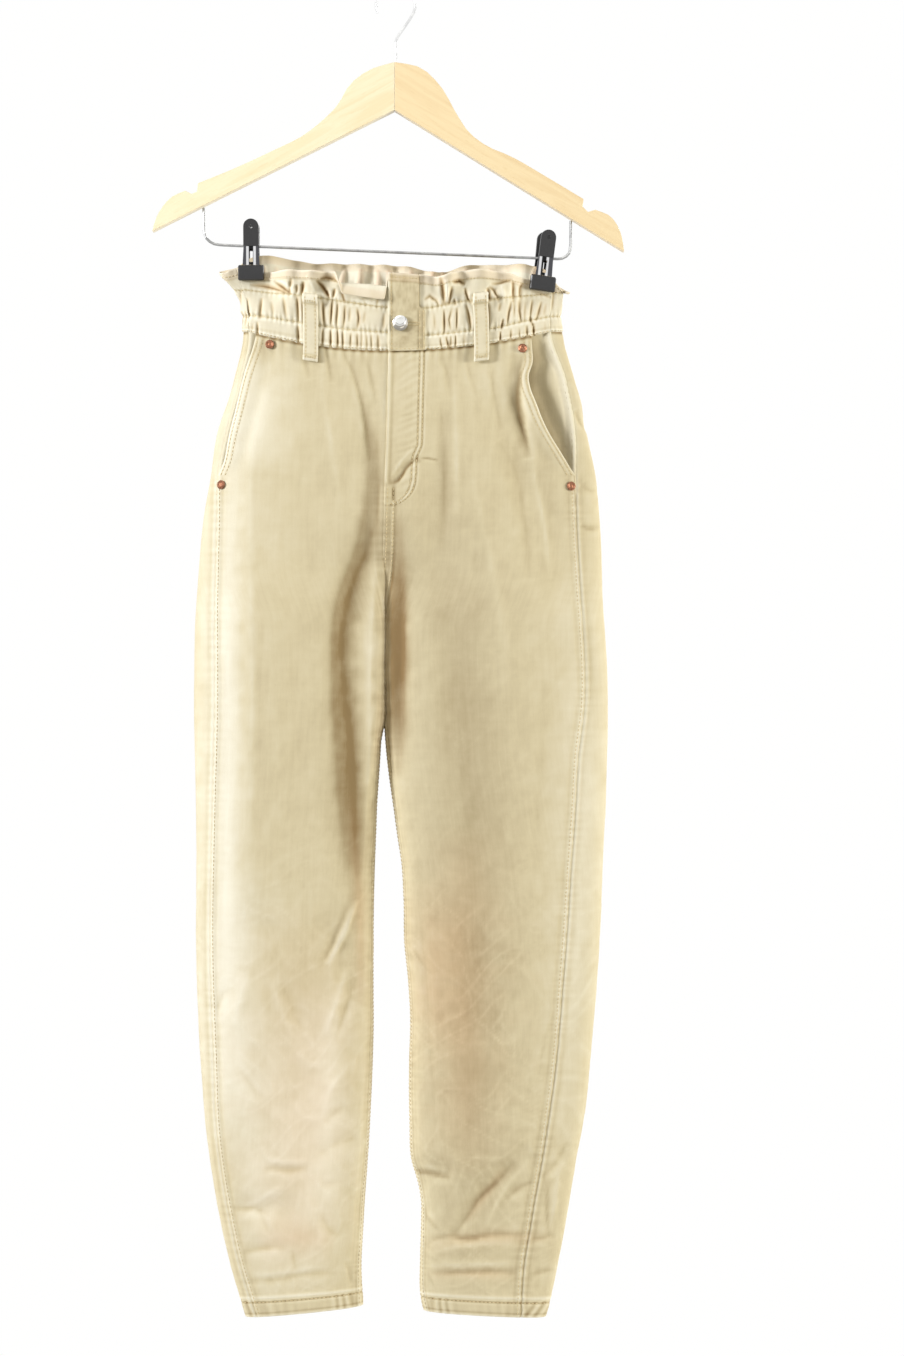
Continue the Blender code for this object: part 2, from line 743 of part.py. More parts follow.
def front_left_columns(down):
    along, waves = gather_columns(-seam_along("left", "front", down), -4.0, GATHERS["left"])
    return np.append(along, UNDERLAP), np.append(waves, 0)


def front_right_columns(down):
    return gather_columns(TAB_TO + SEAM_GAP, seam_along("right", "front", down), GATHERS["right"])


def back_columns(down):
    left, right = seam_along("left", "back", down), seam_along("right", "back", down)
    return gather_columns(-left, right, GATHERS["back"])


def tab_columns(down):
    return np.linspace(TAB_FROM, TAB_TO, 5), np.zeros(5)


def waistband():
    band_piece("waistband_front_left", "front", front_left_columns)
    band_piece("waistband_front_right", "front", front_right_columns)
    band_piece("waistband_back", "back", back_columns)
    band_piece("waist_tab", "front", tab_columns, lift=TAB_LIFT + BAND)


def belt_loop(name, face, centre):
    outside, inside = [], []
    along = centre + np.linspace(-LOOP_WIDTH / 2, LOOP_WIDTH / 2, LOOP_COLUMNS)
    for down, lift in LOOP_LIFTS:
        x, y, nx, ny, share = round_waist(face, down, along)
        dip = (FRONT_DIP if face == "front" else BACK_DIP) * (1 - share**2)
        z = -(down + dip)
        for shifted, rows in ((lift + LOOP_THICK, outside), (lift, inside)):
            rows.append(np.stack([x + nx * shifted, y + ny * shifted, z], axis=-1))
    wall(name, np.array(outside), np.array(inside), "cloth", face == "back")


# Button and rivets

def face_along(obj, point, normal):
    # Stands a turned solid on a point with its axis along the normal.
    obj.location = [value * MM for value in point]
    way = np.array(normal) / np.linalg.norm(normal)
    obj.rotation_euler = (np.arccos(way[2]), 0, np.arctan2(way[1], way[0]) + pi / 2)


def button():
    along, row = BUTTON_AT
    x, y, nx, ny, share = (value[0] for value in round_waist("front", row, np.array([along])))
    out = TAB_LIFT + BAND + SEAM_GAP
    profile = (
        (0, 3.4),
        (BUTTON_RADIUS * 0.55, 3.1),
        (BUTTON_RADIUS * 0.72, 3.6),
        (BUTTON_RADIUS, 2.6),
        (BUTTON_RADIUS, 1.2),
        (BUTTON_RADIUS * 0.45, 0),
        (0, 0),
    )
    obj = turned("button", profile, "button", 16)
    height = -(row + FRONT_DIP * (1 - share**2))
    face_along(obj, (x + nx * out, y + ny * out, height), (nx, ny, 0))


def rivets():
    for name, (leg, down, x) in RIVETS.items():
        point, normal = on_leg(leg, down, x, RIVET_RADIUS)
        point = point + normal * RIVET_LIFT
        profile = (
            (0, 1.4),
            (RIVET_RADIUS * 0.4, 1.0),
            (RIVET_RADIUS * 0.7, 1.7),
            (RIVET_RADIUS, 0.7),
            (RIVET_RADIUS, 0),
            (0, 0),
        )
        obj = turned(name, profile, "copper", 12)
        face_along(obj, point, normal)


# Hanger

def arm(side):
    joint = MITRE_X + (SEAM_GAP / 2 if side == "right" else -SEAM_GAP / 2)
    top = rounded_path(ARM_TOPS[side], ARM_TOP_STEPS)
    end = rounded_path((ARM_NOTCHES[side][-1], *ARM_ENDS[side]), ARM_END_STEPS)
    outline = [(joint, PEAK), *top[1:], *ARM_NOTCHES[side][:-1], *end, (joint, APEX)]
    plate = flat_plate("hanger_arm_" + side, [[(x, -down) for x, down in outline]], WOOD_THICK, "wood")
    weld_and_round(plate, WOOD_ROUND)


def hook():
    # The stem rises from the peak, bends to the right and runs into a round hook open to the left.
    centre = -HOOK_INSIDE
    reach = HOOK_INSIDE + HOOK_WIRE
    angles = np.radians(np.linspace(HOOK_FROM, HOOK_TO, HOOK_STEPS))
    turn = [(reach * np.cos(a), -(centre + reach * np.sin(a))) for a in angles]
    path = [(0, PEAK - SEAM_GAP), *HOOK_BEND, *turn]
    wire("hook", path, HOOK_WIRE, "steel")


def trouser_bar():
    left = rounded_path(BAR_BENDS["left"], BAR_BEND_STEPS)
    right = rounded_path(BAR_BENDS["right"], BAR_BEND_STEPS)
    wire("trouser_bar", [BAR_ENDS[0], *left, *right, BAR_ENDS[1]], BAR_WIRE, "steel")


def bar_down(x):
    (x0, down0), (x1, down1) = BAR_BENDS["left"][-1], BAR_BENDS["right"][0]
    return down0 + (down1 - down0) * (x - x0) / (x1 - x0)


def grip_outline():
    half = GRIP_WIDTH / 2
    crown = GRIP_HIGH - half
    arch = [(half * np.cos(a), crown + half * np.sin(a)) for a in np.linspace(0, pi, 11)]
    turn = np.linspace(0, -2 * pi, 9)[:-1]
    eye = [(GRIP_EYE * np.cos(a), crown + GRIP_EYE * np.sin(a)) for a in turn]
    return [[(-half, GRIP_LOW), (half, GRIP_LOW), *arch], eye]


def clip(name, at, lean, turn, spring):
    x, down = at
    frame = bpy.data.objects.new(name, None)
    frame.location = (x * MM, 0, -down * MM)
    frame.rotation_euler = (0, radians(lean), radians(turn))
    part.objects.link(frame)
    wide, deep, tall = JAW_SIZE
    middle = CLAMP + SEAM_GAP + deep / 2
    for label, side in (("front", -1), ("back", 1)):
        bpy.ops.mesh.primitive_cube_add(size=1)
        jaw = bpy.context.object
        jaw.name = name + "_jaw_" + label
        jaw.data.transform(((wide * MM, 0, 0, 0), (0, deep * MM, 0, 0), (0, 0, tall * MM, 0), (0, 0, 0, 1)))
        for home in list(jaw.users_collection):
            home.objects.unlink(jaw)
        part.objects.link(jaw)
        jaw.parent = frame
        jaw.location = (0, side * middle * MM, -tall / 2 * MM)
        give_material(jaw, "plastic")
        bevel = jaw.modifiers.new("round", "BEVEL")
        bevel.width = JAW_ROUND * MM
        bevel.segments = 1
        for kind, outlines, thick, look in (
            ("leaf", [LEAF_PLATE, LEAF_SLOT], LEAF_THICK, "steel"),
            ("grip", grip_outline(), GRIP_THICK, "plastic"),
        ):
            plate = flat_plate(f"{name}_{kind}_{label}", outlines, thick, look, frame)
            plate.location = (0, side * middle * MM, 0)
            plate.rotation_euler = (radians(90 - side * LEAF_TILT), 0, 0)
    spring_profile = (
        (spring, SPRING_HALF),
        (spring, -SPRING_HALF),
        (BAR_WIRE + SEAM_GAP, -SPRING_HALF),
        (BAR_WIRE + SEAM_GAP, SPRING_HALF),
        (spring, SPRING_HALF),
    )
    spring_x = x + (bar_down(x) - down) * -tan(radians(lean))
    sleeve = turned(name + "_spring", spring_profile, "steel", 14)
    weld = sleeve.modifiers.new("weld", "WELD")
    weld.merge_threshold = 0.00002
    sleeve.location = (spring_x * MM, 0, -bar_down(spring_x) * MM)
    (x0, down0), (x1, down1) = BAR_BENDS["left"][-1], BAR_BENDS["right"][0]
    sleeve.rotation_euler = (0, pi / 2 + np.arctan((down1 - down0) / (x1 - x0)), 0)


clear_scene()
part = new_collection("jeans_on_hanger")

for leg in ("left", "right"):
    for stretch in PANEL_ROWS:
        leg_panel(leg, "front", stretch, FRONT_COLUMNS)
        leg_panel(leg, "back", stretch, BACK_COLUMNS)
    pocket_facing(leg)
zip_tape()
waistband()
for name, (face, centre) in LOOPS.items():
    belt_loop(name, face, centre)
button()
rivets()

for side in ("left", "right"):
    arm(side)
hook()
trouser_bar()
for name, clip_sizes in CLIPS.items():
    clip(name, **clip_sizes)
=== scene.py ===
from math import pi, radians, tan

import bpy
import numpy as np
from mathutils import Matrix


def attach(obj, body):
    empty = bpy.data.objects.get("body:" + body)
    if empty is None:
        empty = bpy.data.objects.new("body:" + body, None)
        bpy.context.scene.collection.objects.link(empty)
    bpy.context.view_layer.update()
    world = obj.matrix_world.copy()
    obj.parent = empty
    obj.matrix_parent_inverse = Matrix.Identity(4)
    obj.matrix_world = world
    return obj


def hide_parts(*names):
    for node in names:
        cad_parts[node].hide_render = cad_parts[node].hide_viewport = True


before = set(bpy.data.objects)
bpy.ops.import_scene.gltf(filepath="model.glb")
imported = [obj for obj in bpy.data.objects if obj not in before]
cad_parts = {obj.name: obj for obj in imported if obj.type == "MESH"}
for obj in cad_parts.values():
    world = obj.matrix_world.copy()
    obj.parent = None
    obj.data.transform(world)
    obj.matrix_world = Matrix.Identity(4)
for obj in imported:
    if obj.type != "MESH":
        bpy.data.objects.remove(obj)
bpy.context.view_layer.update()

# Sand coloured paper-bag jeans on a wooden clip hanger. Lengths are millimetres until a mesh is made. X
# runs to the right, the front faces -Y, Z is up, and "down" is the distance below the inside top of the
# hook. "Fall" is the same with the waist's dip added.

mm = 0.001


# Curves and tables

def curveThrough(knots, values, at):
    # A smooth curve through the knots: cubic Hermite pieces whose slopes come from the neighbours.
    knots, values = np.asarray(knots, float), np.asarray(values, float)
    slope = np.gradient(values, knots)
    k = np.clip(np.searchsorted(knots, at) - 1, 0, len(knots) - 2)
    span = knots[k + 1] - knots[k]
    s = np.clip((at - knots[k]) / span, 0, 1)
    start = (2 * s**3 - 3 * s**2 + 1) * values[k] + (s**3 - 2 * s**2 + s) * span * slope[k]
    end = (3 * s**2 - 2 * s**3) * values[k + 1] + (s**3 - s**2) * span * slope[k + 1]
    return start + end


def tableColumn(table, column, at):
    # One column of a table, as a smooth curve over its first column.
    rows = np.array(table, float)
    return curveThrough(rows[:, 0], rows[:, column], np.asarray(at, float))


def smoothStep(low, high, value):
    # 3 s2 - 2 s3, where s goes from 0 at low to 1 at high and stays level outside.
    s = np.clip((np.asarray(value, float) - low) / (high - low), 0, 1)
    return s * s * (3 - 2 * s)


def rising(least, low, high, value):
    # A share that goes from a least one at low up to 1 at high.
    return least + (1 - least) * smoothStep(low, high, value)


def plateau(ends, value):
    # Rises from 0 to 1 between the first two of four values and falls to 0 again between the last two.
    return smoothStep(ends[0], ends[1], value) * (1 - smoothStep(ends[2], ends[3], value))


def bell(value, width):
    # e to the power of minus the square of value / width.
    return np.exp(-((value / width) ** 2))


def bells(value, rows):
    # A sum of bells. Each row has a height, a middle and a half width.
    return sum(height * bell(value - middle, width) for height, middle, width in rows)


def rowInterp(at, knots, *values):
    # Straight interpolation along each row of a table, all rows at once: each row is shifted past the last
    # one.
    rows, count = knots.shape
    shift = np.arange(rows)[:, None] * (knots.max() - knots.min() + 1.0)
    flat = (knots + shift).ravel()
    wanted = np.clip(at, knots[:, :1], knots[:, -1:]) + shift
    first = np.arange(rows)[:, None] * count
    after = np.searchsorted(flat, wanted.ravel(), side="right").reshape(at.shape)
    k = np.clip(after - 1, first, first + count - 2)
    s = (wanted - flat[k]) / (flat[k + 1] - flat[k])
    return [v.ravel()[k] * (1 - s) + v.ravel()[k + 1] * s for v in values]


def pathThrough(points, step):
    # Points about a step apart on a smooth curve through the given ones.
    points = np.array(points, float)
    run = lengthAlong(points)
    at = np.linspace(0, run[-1], max(2, int(round(run[-1] / step)) + 1))
    return np.stack([curveThrough(run, points[:, k], at) for k in range(points.shape[1])], axis=1)


def lengthAlong(points):
    # The distance from the first point of a line to each of its points, added up from piece to piece.
    return np.concatenate([[0], np.cumsum(np.linalg.norm(np.diff(points, axis=0), axis=1))])


def softNoise(u, v, seed):
    # Smooth noise from -1 to 1: random values on a square lattice, blended by smooth steps.
    size = 97
    lattice = np.random.default_rng(seed).uniform(-1, 1, (size, size))
    iu, iv = np.floor(u).astype(int), np.floor(v).astype(int)
    su, sv = smoothStep(0, 1, u - iu), smoothStep(0, 1, v - iv)
    left, right, near, far = iu % size, (iu + 1) % size, iv % size, (iv + 1) % size
    low = lattice[left, near] * (1 - su) + lattice[right, near] * su
    high = lattice[left, far] * (1 - su) + lattice[right, far] * su
    return low * (1 - sv) + high * sv


def unevenWave(along, length, sway, noise):
    # A sine whose phase is 2 pi along / length plus sway times a noise.
    return np.sin(2 * pi * along / length + sway * noise)


def graded(length, fine, coarse, reach, closeTo=0.0):
    # Shares from 0 to 1, an odd number, with fine steps near both ends and coarse ones between, and with
    # steps between the two in a first stretch.
    at = np.linspace(0, length, 2000)
    near = np.minimum(at, length - at)
    middle = np.where(at < closeTo, (fine + coarse) / 2.4, coarse)
    density = 1 / (fine + (middle - fine) * smoothStep(0, reach, near))
    run = np.concatenate([[0], np.cumsum((density[1:] + density[:-1]) / 2 * np.diff(at))])
    return np.interp(np.linspace(0, run[-1], 2 * int(run[-1] / 2) + 1), run, at) / length


# The form of the legs, with the sizes of the solids

legForm = {
    "crotchTop": 498.0,
    "crotchLow": 606.0,
    "waistSeam": 327.0,
    "frontDip": 19.0,
    "backDip": -6.0,
    "dipReach": 150.0,
    "hem": 1253.0,
    "hemWidth": 15.0,
    "hemTilt": {"left": 11.0, "right": 6.0},
    "hemTiltReach": 70.0,
    "blunt": 0.8,
    "steps": 480,
    "foldFade": 16.0,
    "foldTurn": 4.0,
    "foldEnds": 0.6,
}

# down, outer side, inner side, side seam, half depth
legTables = {
    "left": (
        (277, -163, -6, -150, 25),
        (289, -151, -6, -142, 24),
        (313, -146, -6, -139, 24),
        (327, -144, -6, -137, 24),
        (371, -152, -7, -145, 28),
        (427, -169, -8, -159, 33),
        (461, -174, -9, -166, 35),
        (503, -181, -10, -167, 37),
        (578, -187, -12, -168, 39),
        (672, -190, -13, -168, 39),
        (786, -188, -17, -171, 37),
        (899, -188, -20, -173, 34),
        (1002, -184, -20, -170, 30),
        (1087, -177, -24, -166, 26),
        (1163, -165, -29, -154, 21),
        (1200, -157, -31, -146, 18),
        (1253, -141, -30, -130, 14),
    ),
    "right": (
        (277, 162, -6, 149, 25),
        (289, 158, -6, 147, 24),
        (313, 156, -6, 145, 24),
        (327, 157, -6, 145, 24),
        (371, 169, -7, 159, 28),
        (427, 181, -8, 168, 33),
        (461, 188, -9, 168, 35),
        (503, 192, -10, 169, 37),
        (578, 195, -12, 173, 38),
        (672, 200, -11, 177, 37),
        (729, 199, -8, 170, 36),
        (767, 198, -4, 168, 34.5),
        (804, 196.5, 1, 165.5, 33.5),
        (823, 195.5, 4, 164, 33),
        (861, 194, 6.5, 161.5, 32),
        (899, 192, 7, 159, 31),
        (936, 189.5, 10.5, 156, 30),
        (974, 186.5, 12.5, 153, 29),
        (1012, 183, 11.5, 149.5, 27.5),
        (1068, 177, 12, 142, 25),
        (1106, 170, 14, 136, 23),
        (1128, 166, 20.5, 132, 22),
        (1144, 163, 23, 129, 21),
        (1163, 160, 23, 126, 20),
        (1200, 153, 22, 120, 18),
        (1238, 145.5, 22.5, 117.5, 15.5),
        (1253, 141, 25.5, 117, 14),
    ),
}

# The largest folds, as in the solids: height, half width, then points (x, down) along each
largeFolds = {
    "front": (
        (-4.2, 19, (-32, 372), (-15, 460), (-20, 524), (-38, 576), (-46, 627), (-44, 690), (-38, 767),
            (-34, 850)),
        (-4.0, 18, (79, 372), (112, 430), (141, 500), (158, 590)),
        (3.5, 22, (-112, 380), (-118, 520), (-116, 700), (-122, 880)),
        (-3.5, 20, (34, 400), (40, 520), (52, 660), (66, 800)),
        (-3.0, 14, (-70, 872), (-52, 905), (-44, 965)),
        (-3.5, 14, (128, 1094), (92, 1130), (52, 1178)),
        (-3.0, 12, (16, 1112), (34, 1116), (56, 1112)),
        (-3.0, 13, (-148, 1150), (-118, 1146), (-92, 1152)),
        (2.0, 16, (30, 880), (36, 960), (44, 1040)),
    ),
    "back": (
        (-6.0, 20, (60, 400), (78, 520), (84, 640), (74, 780)),
        (-6.0, 20, (-70, 400), (-84, 520), (-92, 650), (-84, 790)),
        (-3.5, 16, (-150, 840), (-112, 868), (-60, 850)),
        (-3.5, 16, (40, 850), (88, 872), (150, 846)),
        (-3.0, 14, (-140, 1120), (-100, 1140), (-56, 1126)),
        (-3.0, 14, (46, 1126), (88, 1146), (132, 1120)),
    ),
}

# Smaller creases: height, half widths to the left and to the right of the way it runs, then
# points (x, fall). A height below 0 is a trough.
creases = {
    "front": (
        # below the waist, where the gathers run out
        (-1.5, 4, 7, (-91, 334), (-85, 350), (-80, 372)),
        (-1.5, 3, 6, (-65, 342), (-62, 358), (-60, 376)),
        (-2.2, 3, 9, (-51, 342), (-40, 364), (-30, 400), (-24, 450)),
        (1.2, 8, 7, (-72, 345), (-68, 380), (-58, 440), (-50, 500)),
        (-1.3, 3, 6, (-28, 350), (-22, 372), (-18, 396)),
        (-1.2, 4, 5, (44, 350), (49, 368), (52, 390)),
        (-1.4, 4, 7, (88, 352), (92, 380), (100, 420)),
        (-1.0, 4, 6, (66, 348), (70, 366), (76, 388)),
        # fly and crotch
        (-0.8, 1.6, 1.6, (23, 447), (31, 447), (41, 449)),
        (-2.2, 4, 1.8, (22, 445), (11.5, 455), (1, 469), (-7, 471)),
        (1.4, 3, 3, (18, 438), (7, 448), (-3, 464)),
        (-1.8, 1.5, 1.5, (-1.6, 472), (-1.8, 488)),
        (-1.4, 7, 9, (42, 392), (45, 430), (46, 480), (43, 540)),
        (1.3, 6, 6, (55, 370), (57, 440), (58, 500)),
        # the steep side of the long fold on the left thigh
        (-2.2, 8, 18, (-27, 392), (-18, 430), (-14, 458), (-16, 495), (-22, 524), (-36, 558), (-46, 600),
            (-48, 627), (-46, 659), (-39, 726), (-36, 780), (-34, 850)),
        (1.8, 12, 7, (-128, 400), (-134, 470), (-134, 560), (-132, 640), (-134, 740), (-136, 860)),
        (-2.0, 9, 9, (2, 508), (4, 560), (5, 640), (3, 700), (1, 750)),
        (3.2, 14, 6, (-10, 490), (-20, 560), (-25, 640), (-25, 700), (-27, 770), (-30, 850)),
        # left knee
        (2.0, 4, 3, (-36, 858), (-51, 898), (-63, 920)),
        (-1.6, 6, 3, (-44, 862), (-58, 900), (-70, 922)),
        (1.5, 5, 5, (-43, 920), (-57, 961), (-66, 984)),
        (-1.2, 5, 4, (-36, 930), (-48, 966), (-57, 992)),
        (-1.2, 7, 7, (-108, 936), (-91, 969), (-85, 984)),
        (1.0, 6, 6, (-118, 930), (-104, 966), (-96, 990)),
        (-1.0, 4, 5, (-156, 938), (-163, 952), (-167, 966)),
        (1.2, 6, 6, (-137, 926), (-145, 952), (-150, 978)),
        (1.2, 5, 6, (-38, 1007), (-63, 1041), (-67, 1060)),
        (-1.2, 6, 6, (-46, 1050), (-56, 1058), (-66, 1068)),
        (-1.0, 5, 6, (-145, 1018), (-134, 1034), (-126, 1046)),
        (0.9, 6, 6, (-92, 1000), (-78, 1012), (-60, 1010)),
        # left shin and ankle
        (-2.2, 4, 6, (-124, 1109), (-100, 1112), (-81, 1110)),
        (1.4, 5, 4, (-122, 1101), (-100, 1104), (-80, 1103)),
        (1.7, 4, 4, (-147, 1146), (-131, 1143), (-118, 1134), (-103, 1125)),
        (-2.2, 3, 7, (-153, 1151), (-130, 1149), (-118, 1155)),
        (-1.6, 5, 5, (-130, 1149), (-123, 1161), (-116, 1174)),
        (-2.2, 3, 7, (-143, 1190), (-127, 1187), (-113, 1185), (-101, 1186)),
        (-1.6, 4, 4, (-97, 1186), (-95, 1196), (-94, 1208)),
        (-1.8, 4, 6, (-148, 1217), (-113, 1216), (-88, 1211), (-55, 1209)),
        (1.1, 4, 4, (-146, 1211), (-113, 1210), (-88, 1206), (-58, 1203)),
        (-1.8, 4, 5, (-72, 1150), (-58, 1172), (-50, 1175)),
        (-1.7, 7, 7, (-78, 1101), (-52, 1087), (-35, 1083)),
        (-1.2, 5, 5, (-71, 1125), (-55, 1125), (-44, 1124)),
        (-1.6, 3, 4, (-46, 1198), (-43, 1210), (-41, 1222)),
        (1.2, 8, 8, (-72, 1160), (-70, 1184), (-66, 1206)),
        # the right leg, knee to ankle
        (-1.2, 8, 10, (20, 850), (30, 930), (34, 1010), (44, 1080)),
        (-1.0, 5, 6, (16, 905), (24, 916), (36, 930)),
        (-1.0, 5, 6, (150, 960), (140, 990), (134, 1030)),
        (-2.6, 3, 5, (14, 1115), (32, 1117), (52, 1120)),
        (1.2, 4, 5, (16, 1108), (32, 1110), (50, 1112)),
        (-3.2, 6, 4, (112, 1102), (97, 1122), (77, 1141), (64, 1161), (52, 1175)),
        (2.2, 5, 5, (126, 1102), (104, 1128), (91, 1152), (86, 1166)),
        (-1.7, 5, 3, (132, 1121), (113, 1131), (103, 1140)),
        (-1.9, 5, 4, (161, 1086), (152, 1104), (135, 1121)),
        (1.7, 5, 4, (155, 1098), (150, 1134), (144, 1172)),
        (-1.7, 3, 4, (143, 1120), (142, 1150), (143, 1176)),
        (-2.4, 3, 5, (26, 1188), (38, 1178), (53, 1175), (64, 1177), (87, 1173), (122, 1173)),
        (1.2, 4, 4, (30, 1194), (46, 1187), (66, 1184), (90, 1181), (118, 1181)),
        (-1.8, 3, 4, (126, 1177), (138, 1176), (150, 1175)),
        (-2.2, 3, 5, (27, 1210), (55, 1209), (75, 1208), (100, 1208), (116, 1210)),
        (1.5, 4, 4, (27, 1203), (55, 1202), (75, 1201), (100, 1201), (116, 1203)),
        (-1.4, 3, 4, (124, 1212), (138, 1209), (150, 1207)),
        (-1.3, 3, 4, (31, 1212), (35, 1220), (38, 1227)),
        (-1.5, 3, 5, (24, 1148), (34, 1164), (44, 1171)),
        # the right pocket and thigh
        (-4.2, 9, 3, (119, 348), (116, 372), (116, 392), (120, 414), (127, 446)),
        (1.8, 6, 7, (124, 420), (130, 460), (138, 500), (146, 560)),
        (-2.0, 9, 9, (96, 430), (113, 458), (120, 494), (126, 560)),
        (1.2, 10, 10, (60, 420), (80, 500), (96, 580), (108, 680)),
        (-1.0, 12, 12, (140, 640), (136, 740), (128, 840)),
        (-1.0, 8, 9, (176, 600), (180, 640), (178, 700)),
        # the side of the right leg, behind the seam
        (1.5, 5, 5, (163, 372), (172, 392), (176, 408)),
        (-1.8, 4, 5, (168, 400), (176, 414), (182, 420)),
        (-1.4, 4, 4, (174, 470), (184, 476), (190, 474)),
        (-1.2, 4, 4, (174, 508), (184, 512), (192, 508)),
    ),
    "back": (
        # the back of the thighs, below the seat
        (-2.4, 4, 9, (-14, 560), (-44, 596), (-86, 622), (-126, 630)),
        (1.6, 6, 6, (-18, 574), (-50, 612), (-92, 638)),
        (-2.4, 9, 4, (8, 560), (40, 600), (84, 626), (128, 632)),
        (1.6, 6, 6, (12, 576), (48, 616), (90, 642)),
        (-1.8, 5, 5, (-10, 600), (-26, 640), (-40, 700)),
        (-1.8, 5, 5, (6, 604), (22, 644), (38, 706)),
        (-1.6, 5, 7, (-60, 345), (-66, 380), (-76, 430)),
        (-1.8, 6, 5, (40, 342), (46, 380), (56, 430)),
        (-1.4, 5, 5, (-104, 342), (-110, 372), (-120, 410)),
        (-1.4, 5, 5, (86, 342), (92, 372), (104, 412)),
        (-1.2, 4, 4, (-24, 344), (-26, 366), (-24, 396)),
        (-1.2, 4, 4, (14, 344), (16, 368), (12, 398)),
        # behind the knees
        (-2.6, 4, 6, (-172, 846), (-140, 862), (-106, 866), (-70, 856)),
        (1.7, 5, 5, (-168, 858), (-138, 874), (-104, 878)),
        (-2.2, 4, 5, (-36, 876), (-62, 894), (-100, 900), (-138, 892)),
        (-1.8, 4, 5, (-160, 912), (-126, 924), (-90, 922)),
        (-1.4, 4, 4, (-56, 930), (-84, 946), (-116, 948)),
        (-2.6, 6, 4, (172, 842), (142, 860), (106, 866), (64, 852)),
        (1.7, 5, 5, (166, 856), (138, 872), (104, 878)),
        (-2.2, 5, 4, (24, 872), (58, 892), (98, 900), (136, 888)),
        (-1.8, 5, 4, (158, 908), (124, 922), (88, 924)),
        (-1.4, 4, 4, (44, 930), (76, 944), (112, 950)),
        # behind the ankles
        (-2.2, 4, 5, (-158, 1104), (-124, 1114), (-88, 1108)),
        (1.3, 4, 4, (-154, 1114), (-122, 1123), (-90, 1118)),
        (-2.0, 4, 5, (-42, 1132), (-74, 1146), (-112, 1144)),
        (-2.2, 3, 5, (-146, 1180), (-108, 1186), (-66, 1178)),
        (-1.8, 3, 4, (-140, 1208), (-100, 1212), (-52, 1205)),
        (-2.2, 5, 4, (154, 1100), (118, 1114), (84, 1106)),
        (1.3, 4, 4, (150, 1111), (118, 1123), (86, 1116)),
        (-2.0, 5, 4, (30, 1128), (64, 1146), (104, 1142)),
        (-2.2, 5, 3, (146, 1178), (104, 1188), (48, 1178)),
        (-1.8, 4, 3, (138, 1206), (96, 1212), (40, 1206)),
    ),
}

# Where the cloth is tinted a rusty tan, in the same columns: tan stains, and warm painted shade along the
# ankle creases, in the valley of the left thigh, between the legs and at the crotch
rustAndWarmShades = {
    "front": (
        (0.55, 34, 30, (66, 790), (62, 870), (64, 960), (66, 1040), (66, 1120)),
        (0.35, 20, 20, (30, 840), (36, 920), (38, 1000)),
        (0.35, 18, 3.0, (5, 500), (7, 560), (8, 640), (6, 705), (4, 745)),
        (0.2, 4, 4, (-15, 660), (-15, 700), (-16, 730)),
        (0.3, 50, 50, (-96, 860), (-92, 980), (-96, 1100), (-98, 1230)),
        (0.5, 5, 5, (-40, 760), (-34, 860), (-32, 960)),
        (0.35, 14, 14, (-130, 1180), (-80, 1176), (-56, 1180)),
        (0.4, 4, 4, (66, 1160), (84, 1136), (104, 1108)),
        (0.4, 6, 6, (26, 1186), (66, 1178), (120, 1176), (150, 1178)),
        (0.4, 5, 5, (28, 1212), (70, 1210), (116, 1212)),
        (0.12, 30, 30, (-60, 900), (-70, 1000), (-80, 1100), (-86, 1200)),
    ),
    "back": (
        (0.6, 10, 10, (-8, 560), (-8, 640), (-10, 740)),
        (0.6, 10, 10, (6, 560), (6, 640), (4, 740)),
        (0.35, 34, 34, (-100, 860), (-98, 980), (-100, 1110)),
        (0.35, 34, 34, (100, 860), (98, 980), (94, 1110)),
    ),
}
